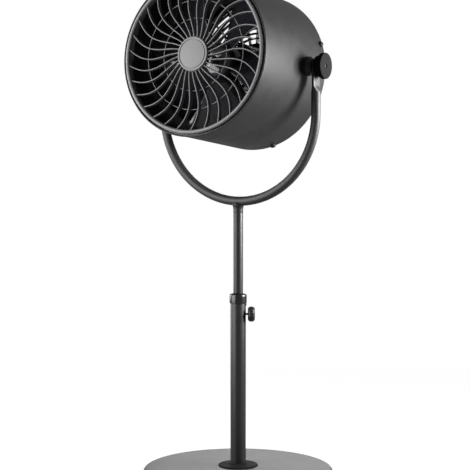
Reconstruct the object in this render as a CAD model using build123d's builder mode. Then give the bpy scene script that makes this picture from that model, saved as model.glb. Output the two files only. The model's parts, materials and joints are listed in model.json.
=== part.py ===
# Air circulator fan on a telescopic pedestal: a drum head in a U-shaped yoke,
# a two-part pole with a clamp knob, and a round weighted base.
# Millimetres. +Z is up, the head faces -Y, and the origin is on the floor at the pole's axis.

import math
import os
from build123d import *

os.makedirs("parts", exist_ok=True)

# Clearances
fit_gap = 0.1        # between pieces of one moving group
running_gap = 0.08   # radial, round a shaft or a sliding tube
body_gap = 0.3       # between pieces that move against each other
edge_match = 0.01    # tolerance for picking an edge or a corner by its radius

# Base
base_radius = 196.5
base_wall = 2.0
base_crown = 20.0
dome_drop = 5.0
shoulder_radius = 6.0
rim_clear = 2.0
weight_margin = 14.5
foot_height = 4.0
foot_radius = 10.0
foot_margin = 12.0
foot_count = 6
flange_radius = 41.5
flange_edge = 3.0
flange_slope = 1.0
flange_neck = 5.5

# Pole foot fastening
bolt_radius = 5.0
bolt_head_radius = 8.5
bolt_head_height = 5.0
bolt_reach = 14.0
washer_radius = 13.0
washer_thickness = 1.5
counterbore_margin = 2.0
counterbore_depth = 7.0
plug_height = 18.0

# Pole, collar and sliding tube
pole_radius = 16.0
pole_wall = 1.5
pole_length = 346.0
collar_wall = 1.7
collar_length = 21.8
collar_overlap = 6.9
collar_round = 6.8
tube_radius = 10.0
tube_wall = 1.5
tube_length = 351.4
tube_showing = 165.5
sleeve_length = 57.0
sleeve_screw_drop = 9.9
sleeve_screw_radius = 1.5
sleeve_screw_length = 5.1
sleeve_screw_head_radius = 2.4
sleeve_screw_head_height = 1.2
screw_head_taper = 15.0
bush_height = 10.0
spigot_length = 20.0
stub_margin = 0.25
stub_rise = 14.3
stub_screw_radius = 1.7
stub_screw_length = 7.6
stub_screw_head_radius = 3.2
stub_screw_head_height = 1.8

# Clamp knob on the pole
clamp_drop = 29.4
clamp_bearing = 30.0
clamp_screw_radius = 2.5
clamp_knob_radius = 16.0
clamp_knob_thickness = 14.7
clamp_knob_stand = 4.0
clamp_knob_round = 6.0
clamp_screw_grip = 10.0
clamp_knob_scallops = 12
clamp_knob_scallop_radius = 3.0
clamp_knob_scallop_depth = 0.8
nut_width = 8.0
nut_thickness = 2.4
nut_cover = 1.3

# Yoke
yoke_gap = 18.0
yoke_tube_radius = 9.5
yoke_wall = 1.5
arm_rise = 94.2
plate_width = 28.0
plate_thickness = 6.0
plate_edge = 1.2
plate_drop = 37.0
press_length = 16.0

# Drum head
tilt_at_rest = 7.0
shell_radius = 161.0
shell_wall = 1.5
shell_front = 172.6
shell_back = 77.3
lip_radius = 1.7
back_flange = 10.0

# Front guard
bead_inset = 6.2
bead_radius = 4.0
bead_front = 180.0
groove_depth = 8.0
guard_sleeve_length = 20.0
guard_sleeve_wall = 2.5
rib_count = 30
rib_width = 2.5
rib_depth = 9.0
rib_front = 176.1
rib_bow = 10.3
rib_clocking = -0.8
rib_points = 7
support_ring_radii = (71.7, 108.5)
support_ring_width = 2.4
support_ring_depth = 3.5
guard_hub_margin = 0.8
guard_hub_drop = 1.0
cap_radius = 33.7
cap_thickness = 4.1
cap_edge_round = 1.2
cap_groove_inset = 3.7
cap_groove_width = 2.0
cap_groove_depth = 1.4
cap_screw_radius = 2.0
cap_screw_grip = 2.5
clip_width = 14.0
clip_thickness = 1.2
clip_reach = 8.0

# Rear guard
rear_rib_count = 24
rear_rib_width = 3.0
rear_rib_depth = 8.0
rear_ring_count = 8
rear_ring_width = 3.0
rear_rim_wall = 4.0
rear_rim_depth = 14.0
centre_plate_margin = 8.0
centre_plate_thickness = 5.0
rear_screw_count = 4
rear_screw_clocking = 20.0
rear_screw_inset = 11.3
rear_screw_radius = 2.0
rear_screw_head_radius = 6.0
rear_screw_head_height = 5.0
rear_screw_head_taper = 18.0

# Motor
motor_radius = 50.0
motor_length = 92.0
motor_wall = 2.0
motor_nose_radius = 14.0
motor_nose_length = 8.0
motor_bush_radius = 8.0
motor_bush_length = 12.0
shaft_radius = 4.0
rotor_core_radius = 28.0
core_length = 38.0
coil_height = 13.0
coil_margin = 3.0
air_gap = 0.6
motor_bolt_radius = 1.6
motor_bolt_inset = 6.0
motor_bolt_count = 4
motor_nut_radius = 3.4
motor_nut_height = 2.8
motor_bolt_proud = 2.0
shaft_end_gap = 1.0

# Fan
blade_count = 5
blade_clocking = -6.0
blade_sweep = -8.0
fan_hub_radius = 38.0
fan_hub_wall = 3.0
fan_hub_depth = 30.0
fan_hub_dome = 16.0
fan_hub_dome_radius = 31.0
fan_stand = 22.0
fan_boss_radius = 10.0
blade_tip_gap = 9.5
blade_root_chord = 50.0
blade_root_pitch = -40.0
blade_root_thickness = 3.0
blade_tip_chord = 160.0
blade_tip_pitch = -21.0
blade_tip_thickness = 2.2
blade_camber = 0.05   # of the chord
spinner_radius = 9.0
spinner_length = 12.0
spinner_round = 5.4
spinner_grip = 8.0

# Tilt pivot, the same on both sides
boss_base_radius = 19.5
boss_neck_radius = 15.0
boss_seat_depth = 2.0
boss_base_length = 5.0
boss_taper_length = 5.0
tilt_washer_radius = 13.0
tilt_washer_thickness = 1.5
stud_radius = 4.0
stud_proud = 2.9
backing_thickness = 2.5
backing_length = 44.0
backing_height = 36.0
rivet_radius = 2.0
rivet_head_radius = 3.8
rivet_head_height = 1.4
rivet_spacing = 24.0
rivet_grip = 3.0
knob_skirt_radius = 20.4
knob_skirt_length = 7.5
knob_flare_length = 3.0
knob_radius = 26.0
knob_depth = 19.7
knob_round = 1.5
knob_eye_radius = 3.4
knob_eye_depth = 3.0
knob_notch_count = 40
knob_notch_radius = 1.0

# Controls on the back
box_radius = 54.0
box_depth = 28.0
box_wall = 2.0
box_round = 3.0
box_screw_inset = 8.0
box_screw_radius = 1.5
box_screw_head_radius = 3.2
box_screw_head_height = 2.0
box_pillar_radius = 4.0
switch_width = 26.0
switch_depth = 12.0
spindle_radius = 3.0
spindle_engagement = 6.0
dial_radius = 17.0
dial_depth = 16.0
dial_grip = 12.0
dial_notch_count = 24
dial_notch_radius = 1.0
dial_bar_taper = 4.0
capacitor_length = 34.0
capacitor_width = 16.0
capacitor_depth = 12.0
capacitor_rise = 28.0
gland_radius = 6.0
gland_bore = 3.5
gland_flange_radius = 8.0
gland_flange_thickness = 3.0
gland_length = 18.0
gland_inside = 4.0
gland_set_back = 14.0

# Levels worked out from the sizes above
weight_radius = base_radius - weight_margin
foot_circle = weight_radius - foot_margin
counterbore_radius = washer_radius + counterbore_margin
pole_top = base_crown + pole_length
collar_radius = pole_radius + fit_gap + collar_wall
nut_depth = tube_radius + nut_cover
stub_radius = tube_radius + stub_margin
collar_bottom = pole_top - collar_overlap
collar_top = collar_bottom + collar_length
tube_top = collar_top + tube_showing
tube_bottom = tube_top - tube_length
clamp_level = pole_top - clamp_drop
yoke_radius = shell_radius + yoke_gap
yoke_centre = tube_top + stub_rise + yoke_tube_radius + yoke_radius
pivot_level = yoke_centre + arm_rise
pole_bore = pole_radius - pole_wall
tube_bore = tube_radius - tube_wall
shell_bore = shell_radius - shell_wall
guard_rim = shell_bore - body_gap
bead_centre = guard_rim - bead_inset
guard_hub_radius = cap_radius + guard_hub_margin
cap_groove_outer = cap_radius - cap_groove_inset
cap_groove_inner = cap_groove_outer - cap_groove_width
blade_tip_radius = shell_bore - blade_tip_gap
motor_bolt_circle = motor_radius - motor_bolt_inset
coil_inner = rotor_core_radius + coil_margin
coil_outer = motor_bolt_circle - motor_bolt_radius - coil_margin
box_screw_circle = box_radius - box_screw_inset
centre_plate_radius = box_radius + centre_plate_margin
bolt_seat = foot_height + counterbore_depth

# Planes and axes. The head's plane looks forward along the drum, with X to the right,
# and its section plane draws (radius, distance in front of the pivot).
tilt = math.radians(tilt_at_rest)
pivot = Vector(0, 0, pivot_level)
head_forward = Vector(0, -math.cos(tilt), math.sin(tilt))
head_plane = Plane(origin=pivot, x_dir=(1, 0, 0), z_dir=head_forward)
head_section = Plane(origin=pivot, x_dir=(1, 0, 0), z_dir=(0, -math.sin(tilt), -math.cos(tilt)))
head_axis = Axis(pivot, head_forward)
stand_section = Plane.XZ
clamp_angle = math.radians(clamp_bearing)
clamp_outward = Vector(math.cos(clamp_angle), math.sin(clamp_angle), 0)
clamp_plane = Plane(origin=(0, 0, clamp_level), x_dir=(0, 0, 1), z_dir=clamp_outward)
sides = (("right", 1), ("left", -1))


def side_plane(side):
    """Plane square to the tilt axis, facing outward on one side of the head."""
    return Plane(origin=pivot, x_dir=(0, 0, 1), z_dir=(side, 0, 0))


def side_section(side):
    """Section plane that draws (radius, distance out along the tilt axis)."""
    return Plane(origin=pivot, x_dir=(0, 0, 1), z_dir=(0, side, 0))


def dome_level(radius):
    """Height of the base's upper surface at a radius."""
    return base_crown - dome_drop * (radius / base_radius) ** 2


# ---------------------------------------------------------------- base

# Pressed steel cover with a shallow dome and a rounded shoulder
with BuildPart() as base_shell:
    with BuildSketch(stand_section) as cover:
        with BuildLine():
            bore = bolt_radius + body_gap
            inner = base_radius - base_wall
            ThreePointArc(
                (bore, dome_level(bore)),
                (base_radius / 2, dome_level(base_radius / 2)),
                (base_radius, dome_level(base_radius)),
            )
            Polyline(
                (base_radius, dome_level(base_radius)),
                (base_radius, rim_clear),
                (inner, rim_clear),
                (inner, dome_level(inner) - base_wall),
            )
            ThreePointArc(
                (inner, dome_level(inner) - base_wall),
                (inner / 2, dome_level(inner / 2) - base_wall),
                (bore, dome_level(bore) - base_wall),
            )
            Line((bore, dome_level(bore) - base_wall), (bore, dome_level(bore)))
        make_face()
        fillet(cover.vertices().group_by(Axis.X)[-1].sort_by(Axis.Y)[-1], shoulder_radius)
        inside_rim = cover.vertices().filter_by(lambda corner: abs(corner.X - inner) < edge_match)
        fillet(inside_rim.sort_by(Axis.Y)[-1], shoulder_radius - base_wall)
    revolve(axis=Axis.Z)
base_shell.part.label = "base_shell"
export_step(base_shell.part, "parts/base_shell.step")

# Cast weight that fills the cover, recessed below for the bolt's head
with BuildPart() as base_weight:
    with BuildSketch(stand_section):
        with BuildLine():
            bore = bolt_radius + body_gap
            drop = base_wall + fit_gap
            ThreePointArc(
                (bore, dome_level(bore) - drop),
                (weight_radius / 2, dome_level(weight_radius / 2) - drop),
                (weight_radius, dome_level(weight_radius) - drop),
            )
            Polyline(
                (weight_radius, dome_level(weight_radius) - drop),
                (weight_radius, foot_height),
                (counterbore_radius, foot_height),
                (counterbore_radius, bolt_seat),
                (bore, bolt_seat),
                (bore, dome_level(bore) - drop),
            )
        make_face()
    revolve(axis=Axis.Z)
base_weight.part.label = "base_weight"
export_step(base_weight.part, "parts/base_weight.step")

# Rubber pads under the weight
with BuildPart() as base_feet:
    with BuildSketch(Plane.XY):
        with PolarLocations(foot_circle, foot_count):
            Circle(foot_radius)
    extrude(amount=foot_height)
base_feet.part.label = "base_feet"
export_step(base_feet.part, "parts/base_feet.step")

# Trim flange round the pole's foot
with BuildPart() as foot_flange:
    with BuildSketch(stand_section):
        with BuildLine():
            bore = pole_radius + fit_gap
            Polyline(
                (bore, base_crown),
                (flange_radius, base_crown),
                (flange_radius, base_crown + flange_edge / 2),
                (flange_radius - flange_edge / 2, base_crown + flange_edge),
                (pole_radius + flange_edge, base_crown + flange_edge + flange_slope),
                (bore, base_crown + flange_neck),
                close=True,
            )
        make_face()
    revolve(axis=Axis.Z)
foot_flange.part.label = "foot_flange"
export_step(foot_flange.part, "parts/foot_flange.step")

# Threaded plug fixed inside the pole's foot
with BuildPart() as pole_plug:
    with BuildSketch(Plane.XY.offset(base_crown)):
        Circle(pole_bore - fit_gap)
        Circle(bolt_radius + fit_gap, mode=Mode.SUBTRACT)
    extrude(amount=plug_height)
pole_plug.part.label = "pole_plug"
export_step(pole_plug.part, "parts/pole_plug.step")

# Bolt up through the base into the plug
with BuildPart() as base_bolt:
    head_top = bolt_seat - washer_thickness
    with BuildSketch(Plane.XY.offset(head_top - bolt_head_height)):
        RegularPolygon(bolt_head_radius, 6)
    extrude(amount=bolt_head_height)
    with BuildSketch(Plane.XY.offset(head_top)):
        Circle(bolt_radius)
    extrude(amount=base_crown + bolt_reach - head_top)
base_bolt.part.label = "base_bolt"
export_step(base_bolt.part, "parts/base_bolt.step")

with BuildPart() as base_washer:
    with BuildSketch(Plane.XY.offset(bolt_seat - washer_thickness)):
        Circle(washer_radius)
        Circle(bolt_radius + fit_gap, mode=Mode.SUBTRACT)
    extrude(amount=washer_thickness)
base_washer.part.label = "base_washer"
export_step(base_washer.part, "parts/base_washer.step")

# ---------------------------------------------------------------- pole and clamp

sleeve_screw_plane = Plane(
    origin=(0, 0, pole_top - sleeve_screw_drop), x_dir=(0, 0, 1), z_dir=clamp_outward
)

# Steel pole with holes for the clamp screw and the sleeve's screw
with BuildPart() as lower_pole:
    with BuildSketch(Plane.XY.offset(base_crown)):
        Circle(pole_radius)
        Circle(pole_bore, mode=Mode.SUBTRACT)
    extrude(amount=pole_length)
    with BuildSketch(clamp_plane):
        Circle(clamp_screw_radius + body_gap)
    extrude(amount=pole_radius + pole_wall, mode=Mode.SUBTRACT)
    with BuildSketch(sleeve_screw_plane):
        Circle(sleeve_screw_radius + fit_gap)
    extrude(amount=pole_radius + pole_wall, mode=Mode.SUBTRACT)
lower_pole.part.label = "lower_pole"
export_step(lower_pole.part, "parts/lower_pole.step")

# Nylon sleeve that guides the sliding tube, with a pocket for the clamp nut
with BuildPart() as guide_sleeve:
    with BuildSketch(Plane.XY.offset(pole_top - sleeve_length)):
        Circle(pole_bore - fit_gap)
        Circle(tube_radius + running_gap, mode=Mode.SUBTRACT)
    extrude(amount=sleeve_length)
    with BuildSketch(clamp_plane):
        Circle(clamp_screw_radius + body_gap)
    extrude(amount=pole_radius, mode=Mode.SUBTRACT)
    with BuildSketch(clamp_plane.offset(nut_depth - fit_gap)):
        Rectangle(nut_width + 2 * fit_gap, nut_width + 2 * fit_gap)
    extrude(amount=pole_radius - nut_depth, mode=Mode.SUBTRACT)
    with BuildSketch(sleeve_screw_plane):
        Circle(sleeve_screw_radius + fit_gap)
    extrude(amount=pole_radius, mode=Mode.SUBTRACT)
guide_sleeve.part.label = "guide_sleeve"
export_step(guide_sleeve.part, "parts/guide_sleeve.step")

# Small pan-head screw that keeps the sleeve in the pole
with BuildPart() as sleeve_screw:
    sleeve_screw_tip = pole_radius + fit_gap - sleeve_screw_length
    with BuildSketch(sleeve_screw_plane.offset(sleeve_screw_tip)):
        Circle(sleeve_screw_radius)
    extrude(amount=sleeve_screw_length)
    with BuildSketch(sleeve_screw_plane.offset(pole_radius + fit_gap)):
        Circle(sleeve_screw_head_radius)
    extrude(amount=sleeve_screw_head_height, taper=screw_head_taper)
sleeve_screw.part.label = "sleeve_screw"
export_step(sleeve_screw.part, "parts/sleeve_screw.step")

# Square nut in the sleeve's pocket
with BuildPart() as clamp_nut:
    with BuildSketch(clamp_plane.offset(nut_depth)):
        Rectangle(nut_width, nut_width)
        Circle(clamp_screw_radius + running_gap, mode=Mode.SUBTRACT)
    extrude(amount=nut_thickness)
clamp_nut.part.label = "clamp_nut"
export_step(clamp_nut.part, "parts/clamp_nut.step")

# Collar over the pole's top, with a rounded shoulder
with BuildPart() as pole_collar:
    with BuildSketch(stand_section):
        with BuildLine():
            bore = tube_radius + body_gap
            skirt = pole_radius + fit_gap
            Polyline(
                (skirt, collar_bottom),
                (collar_radius, collar_bottom),
                (collar_radius, collar_top - collar_round),
            )
            RadiusArc(
                (collar_radius, collar_top - collar_round),
                (collar_radius - collar_round, collar_top),
                -collar_round,
            )
            Polyline(
                (collar_radius - collar_round, collar_top),
                (bore, collar_top),
                (bore, pole_top + fit_gap),
                (skirt, pole_top + fit_gap),
                (skirt, collar_bottom),
            )
        make_face()
    revolve(axis=Axis.Z)
pole_collar.part.label = "pole_collar"
export_step(pole_collar.part, "parts/pole_collar.step")

# Well-rounded clamp knob with shallow scallops, on its screw
knob_inner = pole_radius + clamp_knob_stand
with BuildPart() as clamp_knob:
    with BuildSketch(clamp_plane.offset(knob_inner)):
        Circle(clamp_knob_radius)
    extrude(amount=clamp_knob_thickness)
    fillet(clamp_knob.edges().filter_by(GeomType.CIRCLE), clamp_knob_round)
    with BuildSketch(clamp_plane.offset(knob_inner)):
        scallop_circle = clamp_knob_radius + clamp_knob_scallop_radius - clamp_knob_scallop_depth
        with PolarLocations(scallop_circle, clamp_knob_scallops):
            Circle(clamp_knob_scallop_radius)
    extrude(amount=clamp_knob_thickness, mode=Mode.SUBTRACT)
    with BuildSketch(clamp_plane.offset(knob_inner)):
        Circle(clamp_screw_radius + fit_gap)
    extrude(amount=clamp_screw_grip, mode=Mode.SUBTRACT)
clamp_knob.part.label = "clamp_knob"
export_step(clamp_knob.part, "parts/clamp_knob.step")

with BuildPart() as clamp_screw:
    with BuildSketch(clamp_plane.offset(tube_radius + body_gap)):
        Circle(clamp_screw_radius)
    extrude(amount=knob_inner + clamp_screw_grip - tube_radius - body_gap)
clamp_screw.part.label = "clamp_screw"
export_step(clamp_screw.part, "parts/clamp_screw.step")

# ---------------------------------------------------------------- sliding tube and yoke

# Nylon bush that runs in the pole and carries the tube's lower end
with BuildPart() as tube_bush:
    with BuildSketch(Plane.XY.offset(tube_bottom - bush_height)):
        Circle(pole_bore - running_gap)
    extrude(amount=bush_height)
    with BuildSketch(Plane.XY.offset(tube_bottom)):
        Circle(tube_bore - running_gap)
    extrude(amount=spigot_length)
tube_bush.part.label = "tube_bush"
export_step(tube_bush.part, "parts/tube_bush.step")

stub_screw_plane = Plane(
    origin=(0, 0, tube_top - spigot_length / 2), x_dir=(0, 0, 1), z_dir=(0, 1, 0)
)

with BuildPart() as inner_tube:
    with BuildSketch(Plane.XY.offset(tube_bottom)):
        Circle(tube_radius)
        Circle(tube_bore, mode=Mode.SUBTRACT)
    extrude(amount=tube_length)
    with BuildSketch(stub_screw_plane):
        Circle(stub_screw_radius + fit_gap)
    extrude(amount=tube_radius + tube_wall, mode=Mode.SUBTRACT)
inner_tube.part.label = "inner_tube"
export_step(inner_tube.part, "parts/inner_tube.step")

# Stub under the yoke, saddled to its tube, with a spigot in the sliding tube
with BuildPart() as yoke_stub:
    with BuildSketch(Plane.XY.offset(tube_top - spigot_length)):
        Circle(tube_bore - fit_gap)
    extrude(amount=spigot_length)
    with BuildSketch(Plane.XY.offset(tube_top)):
        Circle(stub_radius)
    extrude(amount=stub_rise + yoke_tube_radius)
    with BuildSketch(Plane.YZ):
        with Locations((0, yoke_centre - yoke_radius)):
            Circle(yoke_tube_radius + fit_gap / 2)
    revolve(axis=Axis((0, 0, yoke_centre), (0, 1, 0)), mode=Mode.SUBTRACT)
    with BuildSketch(stub_screw_plane):
        Circle(stub_screw_radius + fit_gap)
    extrude(amount=tube_radius, mode=Mode.SUBTRACT)
yoke_stub.part.label = "yoke_stub"
export_step(yoke_stub.part, "parts/yoke_stub.step")

# Screw at the back that ties the stub to the tube
with BuildPart() as stub_screw:
    screw_tip = tube_radius + fit_gap - stub_screw_length
    with BuildSketch(stub_screw_plane.offset(screw_tip)):
        Circle(stub_screw_radius)
    extrude(amount=stub_screw_length)
    with BuildSketch(stub_screw_plane.offset(tube_radius + fit_gap)):
        Circle(stub_screw_head_radius)
    extrude(amount=stub_screw_head_height, taper=screw_head_taper)
stub_screw.part.label = "stub_screw"
export_step(stub_screw.part, "parts/stub_screw.step")

# U-shaped yoke: one bent tube whose ends are pressed flat round the tilt studs
plate_level = pivot_level - plate_drop
press_level = plate_level - press_length
with BuildPart() as yoke:
    with BuildLine() as bend:
        Line((-yoke_radius, 0, press_level), (-yoke_radius, 0, yoke_centre))
        ThreePointArc(
            (-yoke_radius, 0, yoke_centre),
            (0, 0, yoke_centre - yoke_radius),
            (yoke_radius, 0, yoke_centre),
        )
        Line((yoke_radius, 0, yoke_centre), (yoke_radius, 0, press_level))
    with BuildSketch(Plane(origin=(-yoke_radius, 0, press_level), z_dir=(0, 0, -1))):
        Circle(yoke_tube_radius)
        Circle(yoke_tube_radius - yoke_wall, mode=Mode.SUBTRACT)
    sweep(path=bend.wires()[0])
    for side_name, side in sides:
        with BuildSketch(Plane.XY.offset(press_level)):
            with Locations((side * yoke_radius, 0)):
                round_width = 2 * yoke_tube_radius
                RectangleRounded(round_width, round_width, yoke_tube_radius - fit_gap)
        with BuildSketch(Plane.XY.offset(plate_level)):
            with Locations((side * yoke_radius, 0)):
                RectangleRounded(plate_thickness, plate_width, plate_edge)
        loft()
        plate_plane = side_plane(side).offset(yoke_radius - plate_thickness / 2)
        with BuildSketch(plate_plane):
            with Locations((-plate_drop / 2, 0)):
                Rectangle(plate_drop, plate_width)
            Circle(plate_width / 2)
            Circle(stud_radius + body_gap, mode=Mode.SUBTRACT)
        extrude(amount=plate_thickness)
yoke.part.label = "yoke"
export_step(yoke.part, "parts/yoke.step")

# ---------------------------------------------------------------- drum

rear_screw_level = rear_screw_inset - shell_back
rear_screw_angles = [
    90 + rear_screw_clocking - 360 * k / rear_screw_count for k in range(rear_screw_count)
]


def rear_screw_plane(angle):
    """Plane through the drum's axis that faces outward along a rear screw."""
    turn = math.radians(angle)
    outward = head_plane.x_dir * math.cos(turn) + head_plane.y_dir * math.sin(turn)
    return Plane(origin=pivot + head_forward * rear_screw_level, x_dir=head_forward, z_dir=outward)


# Steel drum with a rolled front lip and an in-turned rear flange
with BuildPart() as drum_shell:
    with BuildSketch(head_section):
        with BuildLine():
            Polyline(
                (shell_bore, shell_front),
                (shell_bore, shell_wall - shell_back),
                (shell_radius - back_flange, shell_wall - shell_back),
                (shell_radius - back_flange, -shell_back),
                (shell_radius, -shell_back),
                (shell_radius, shell_front),
                close=True,
            )
        make_face()
        with Locations((shell_bore + lip_radius, shell_front)):
            Circle(lip_radius)
    revolve(axis=head_axis)
    for angle in rear_screw_angles:
        with BuildSketch(rear_screw_plane(angle)):
            Circle(rear_screw_radius + fit_gap)
        extrude(amount=shell_radius + shell_wall, mode=Mode.SUBTRACT)
    for side_name, side in sides:
        with BuildSketch(side_plane(side)):
            Circle(stud_radius + body_gap)
            with GridLocations(0, rivet_spacing, 1, 2):
                Circle(rivet_radius + fit_gap)
        extrude(amount=shell_radius + shell_wall, mode=Mode.SUBTRACT)
drum_shell.part.label = "drum_shell"
export_step(drum_shell.part, "parts/drum_shell.step")

# ---------------------------------------------------------------- front guard

bead_inner = bead_centre - bead_radius
bead_outer = bead_centre + bead_radius
guard_ledge = bead_front - groove_depth
guard_back = guard_ledge - guard_sleeve_length
rib_back = rib_front - rib_depth
hub_front = rib_front - guard_hub_drop


def rib_edge(edge_side):
    """Points of one edge of a rib, bowed by half a sine wave between hub and bead."""
    points = []
    start = cap_radius + fit_gap
    span = bead_centre - start
    for step in range(rib_points):
        share = step / (rib_points - 1)
        radius = start + span * share
        bow = math.radians(rib_bow) * math.sin(math.pi * share)
        slope = radius * math.radians(rib_bow) * math.pi / span * math.cos(math.pi * share)
        half_angle = rib_width / 2 / radius * math.hypot(1, slope)
        angle = math.radians(90 - rib_clocking) + bow + edge_side * half_angle
        points.append((radius * math.cos(angle), radius * math.sin(angle)))
    return points


# Moulded guard: bead, sleeve inside the drum, bowed ribs, support rings and hub
with BuildPart() as front_guard:
    with BuildSketch(head_section):
        with BuildLine():
            Line((bead_inner, rib_back), (bead_inner, bead_front - bead_radius))
            RadiusArc(
                (bead_inner, bead_front - bead_radius),
                (bead_centre, bead_front),
                bead_radius,
            )
            RadiusArc(
                (bead_centre, bead_front),
                (bead_outer, bead_front - bead_radius),
                bead_radius,
            )
            Polyline(
                (bead_outer, bead_front - bead_radius),
                (bead_outer, guard_ledge),
                (guard_rim, guard_ledge),
                (guard_rim, guard_back),
                (guard_rim - guard_sleeve_wall, guard_back),
                (guard_rim - guard_sleeve_wall, rib_back),
                (bead_inner, rib_back),
            )
        make_face()
    revolve(axis=head_axis)
    with BuildSketch(head_plane.offset(rib_back)) as rib_sketch:
        with BuildLine(mode=Mode.PRIVATE) as rib_outline:
            left_edge = Spline(*rib_edge(1))
            right_edge = Spline(*rib_edge(-1))
            Line(left_edge @ 0, right_edge @ 0)
            Line(left_edge @ 1, right_edge @ 1)
        rib_face = make_face(rib_outline.edges(), mode=Mode.PRIVATE)
        with PolarLocations(0, rib_count):
            add(rib_face)
    extrude(amount=rib_depth)
    with BuildSketch(head_plane.offset(rib_back)):
        Circle(guard_hub_radius)
        Circle(cap_screw_radius + fit_gap, mode=Mode.SUBTRACT)
    extrude(amount=hub_front - rib_back)
    for ring_radius in support_ring_radii:
        with BuildSketch(head_plane.offset(rib_back)):
            Circle(ring_radius + support_ring_width / 2)
            Circle(ring_radius - support_ring_width / 2, mode=Mode.SUBTRACT)
        extrude(amount=support_ring_depth)
front_guard.part.label = "front_guard"
export_step(front_guard.part, "parts/front_guard.step")

# Round cap on the guard's hub, with a ring groove near its edge
cap_back = hub_front + fit_gap
cap_front = cap_back + cap_thickness
with BuildPart() as hub_cap:
    with BuildSketch(head_plane.offset(cap_back)):
        Circle(cap_radius)
    extrude(amount=cap_thickness)
    fillet(hub_cap.faces().sort_by(head_axis)[-1].edges(), cap_edge_round)
    with BuildSketch(head_plane.offset(cap_front)):
        Circle(cap_groove_outer)
        Circle(cap_groove_inner, mode=Mode.SUBTRACT)
    extrude(amount=-cap_groove_depth, mode=Mode.SUBTRACT)
    with BuildSketch(head_plane.offset(cap_back)):
        Circle(cap_screw_radius + fit_gap)
    extrude(amount=cap_screw_grip, mode=Mode.SUBTRACT)
hub_cap.part.label = "hub_cap"
export_step(hub_cap.part, "parts/hub_cap.step")

# Screw from behind that holds the cap
with BuildPart() as cap_screw:
    with BuildSketch(head_plane.offset(rib_back - fit_gap)):
        Circle(cap_screw_radius)
    extrude(amount=cap_back + cap_screw_grip - fit_gap - rib_back)
    with BuildSketch(head_plane.offset(rib_back - fit_gap)):
        Circle(2 * cap_screw_radius)
    extrude(amount=-cap_screw_radius, taper=screw_head_taper)
cap_screw.part.label = "cap_screw"
export_step(cap_screw.part, "parts/cap_screw.step")

# Four spring clips that hook the guard's sleeve inside the drum
with BuildPart() as guard_clips:
    with BuildSketch(head_section):
        with BuildLine():
            clip_top = guard_rim - guard_sleeve_wall - fit_gap
            clip_foot = guard_back - fit_gap
            Polyline(
                (clip_top, clip_foot + clip_reach),
                (clip_top, clip_foot),
                (guard_rim, clip_foot),
                (guard_rim, clip_foot - clip_thickness),
                (clip_top - clip_thickness, clip_foot - clip_thickness),
                (clip_top - clip_thickness, clip_foot + clip_reach),
                close=True,
            )
        make_face()
    revolve(axis=head_axis)
    with BuildSketch(head_plane.offset(guard_back - 2 * clip_reach)):
        Rectangle(clip_width, 2 * shell_radius)
        Rectangle(2 * shell_radius, clip_width)
    extrude(amount=4 * clip_reach, mode=Mode.INTERSECT)
guard_clips.part.label = "guard_clips"
export_step(guard_clips.part, "parts/guard_clips.step")

# ---------------------------------------------------------------- rear guard

rear_face = shell_wall + fit_gap - shell_back
plate_front = rear_face + centre_plate_thickness
motor_bolt_clocking = 180 / motor_bolt_count
rear_ring_step = (guard_rim - rear_rim_wall - centre_plate_radius) / (rear_ring_count + 1)

# Spoked guard with its rim inside the drum and a plate in the middle for the motor
with BuildPart() as rear_guard:
    with BuildSketch(head_plane.offset(rear_face)):
        Circle(guard_rim)
        Circle(guard_rim - rear_rim_wall, mode=Mode.SUBTRACT)
    extrude(amount=rear_rim_depth)
    with BuildSketch(head_plane.offset(rear_face)):
        rib_start = centre_plate_radius - rear_rib_width
        rib_end = guard_rim - rear_rim_wall / 2
        with PolarLocations((rib_start + rib_end) / 2, rear_rib_count):
            Rectangle(rib_end - rib_start, rear_rib_width)
    extrude(amount=rear_rib_depth)
    for k in range(rear_ring_count):
        ring_radius = centre_plate_radius + rear_ring_step * (k + 1)
        with BuildSketch(head_plane.offset(rear_face)):
            Circle(ring_radius + rear_ring_width / 2)
            Circle(ring_radius - rear_ring_width / 2, mode=Mode.SUBTRACT)
        extrude(amount=rear_rib_depth)
    with BuildSketch(head_plane.offset(rear_face)):
        Circle(centre_plate_radius)
    extrude(amount=centre_plate_thickness)
    with BuildSketch(head_plane.offset(rear_face)):
        with PolarLocations(motor_bolt_circle, motor_bolt_count, start_angle=motor_bolt_clocking):
            Circle(motor_bolt_radius + fit_gap)
        with PolarLocations(box_screw_circle, 2):
            Circle(box_screw_radius + fit_gap)
    extrude(amount=centre_plate_thickness, mode=Mode.SUBTRACT)
    for angle in rear_screw_angles:
        with BuildSketch(rear_screw_plane(angle)):
            Circle(rear_screw_radius + fit_gap)
        extrude(amount=shell_radius, mode=Mode.SUBTRACT)
rear_guard.part.label = "rear_guard"
export_step(rear_guard.part, "parts/rear_guard.step")

# Dark pan-head screws round the drum's rear edge
with BuildPart() as rear_screws:
    screw_foot = guard_rim - rear_rim_wall
    for angle in rear_screw_angles:
        with BuildSketch(rear_screw_plane(angle).offset(screw_foot)):
            Circle(rear_screw_radius)
        extrude(amount=shell_radius + fit_gap - screw_foot)
        with BuildSketch(rear_screw_plane(angle).offset(shell_radius + fit_gap)):
            Circle(rear_screw_head_radius)
        extrude(amount=rear_screw_head_height, taper=rear_screw_head_taper)
rear_screws.part.label = "rear_screws"
export_step(rear_screws.part, "parts/rear_screws.step")

# ---------------------------------------------------------------- motor

motor_back = plate_front + fit_gap
motor_front = motor_back + motor_length
motor_split = motor_back + motor_length / 2
core_back = motor_split - core_length / 2
core_front = core_back + core_length
motor_bore = motor_radius - motor_wall
nose_front = motor_front + motor_nose_length
front_bush_back = nose_front - motor_bush_length
rear_bush_front = motor_back + motor_wall + motor_bush_length
bush_shoulder = motor_bush_radius + fit_gap


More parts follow.
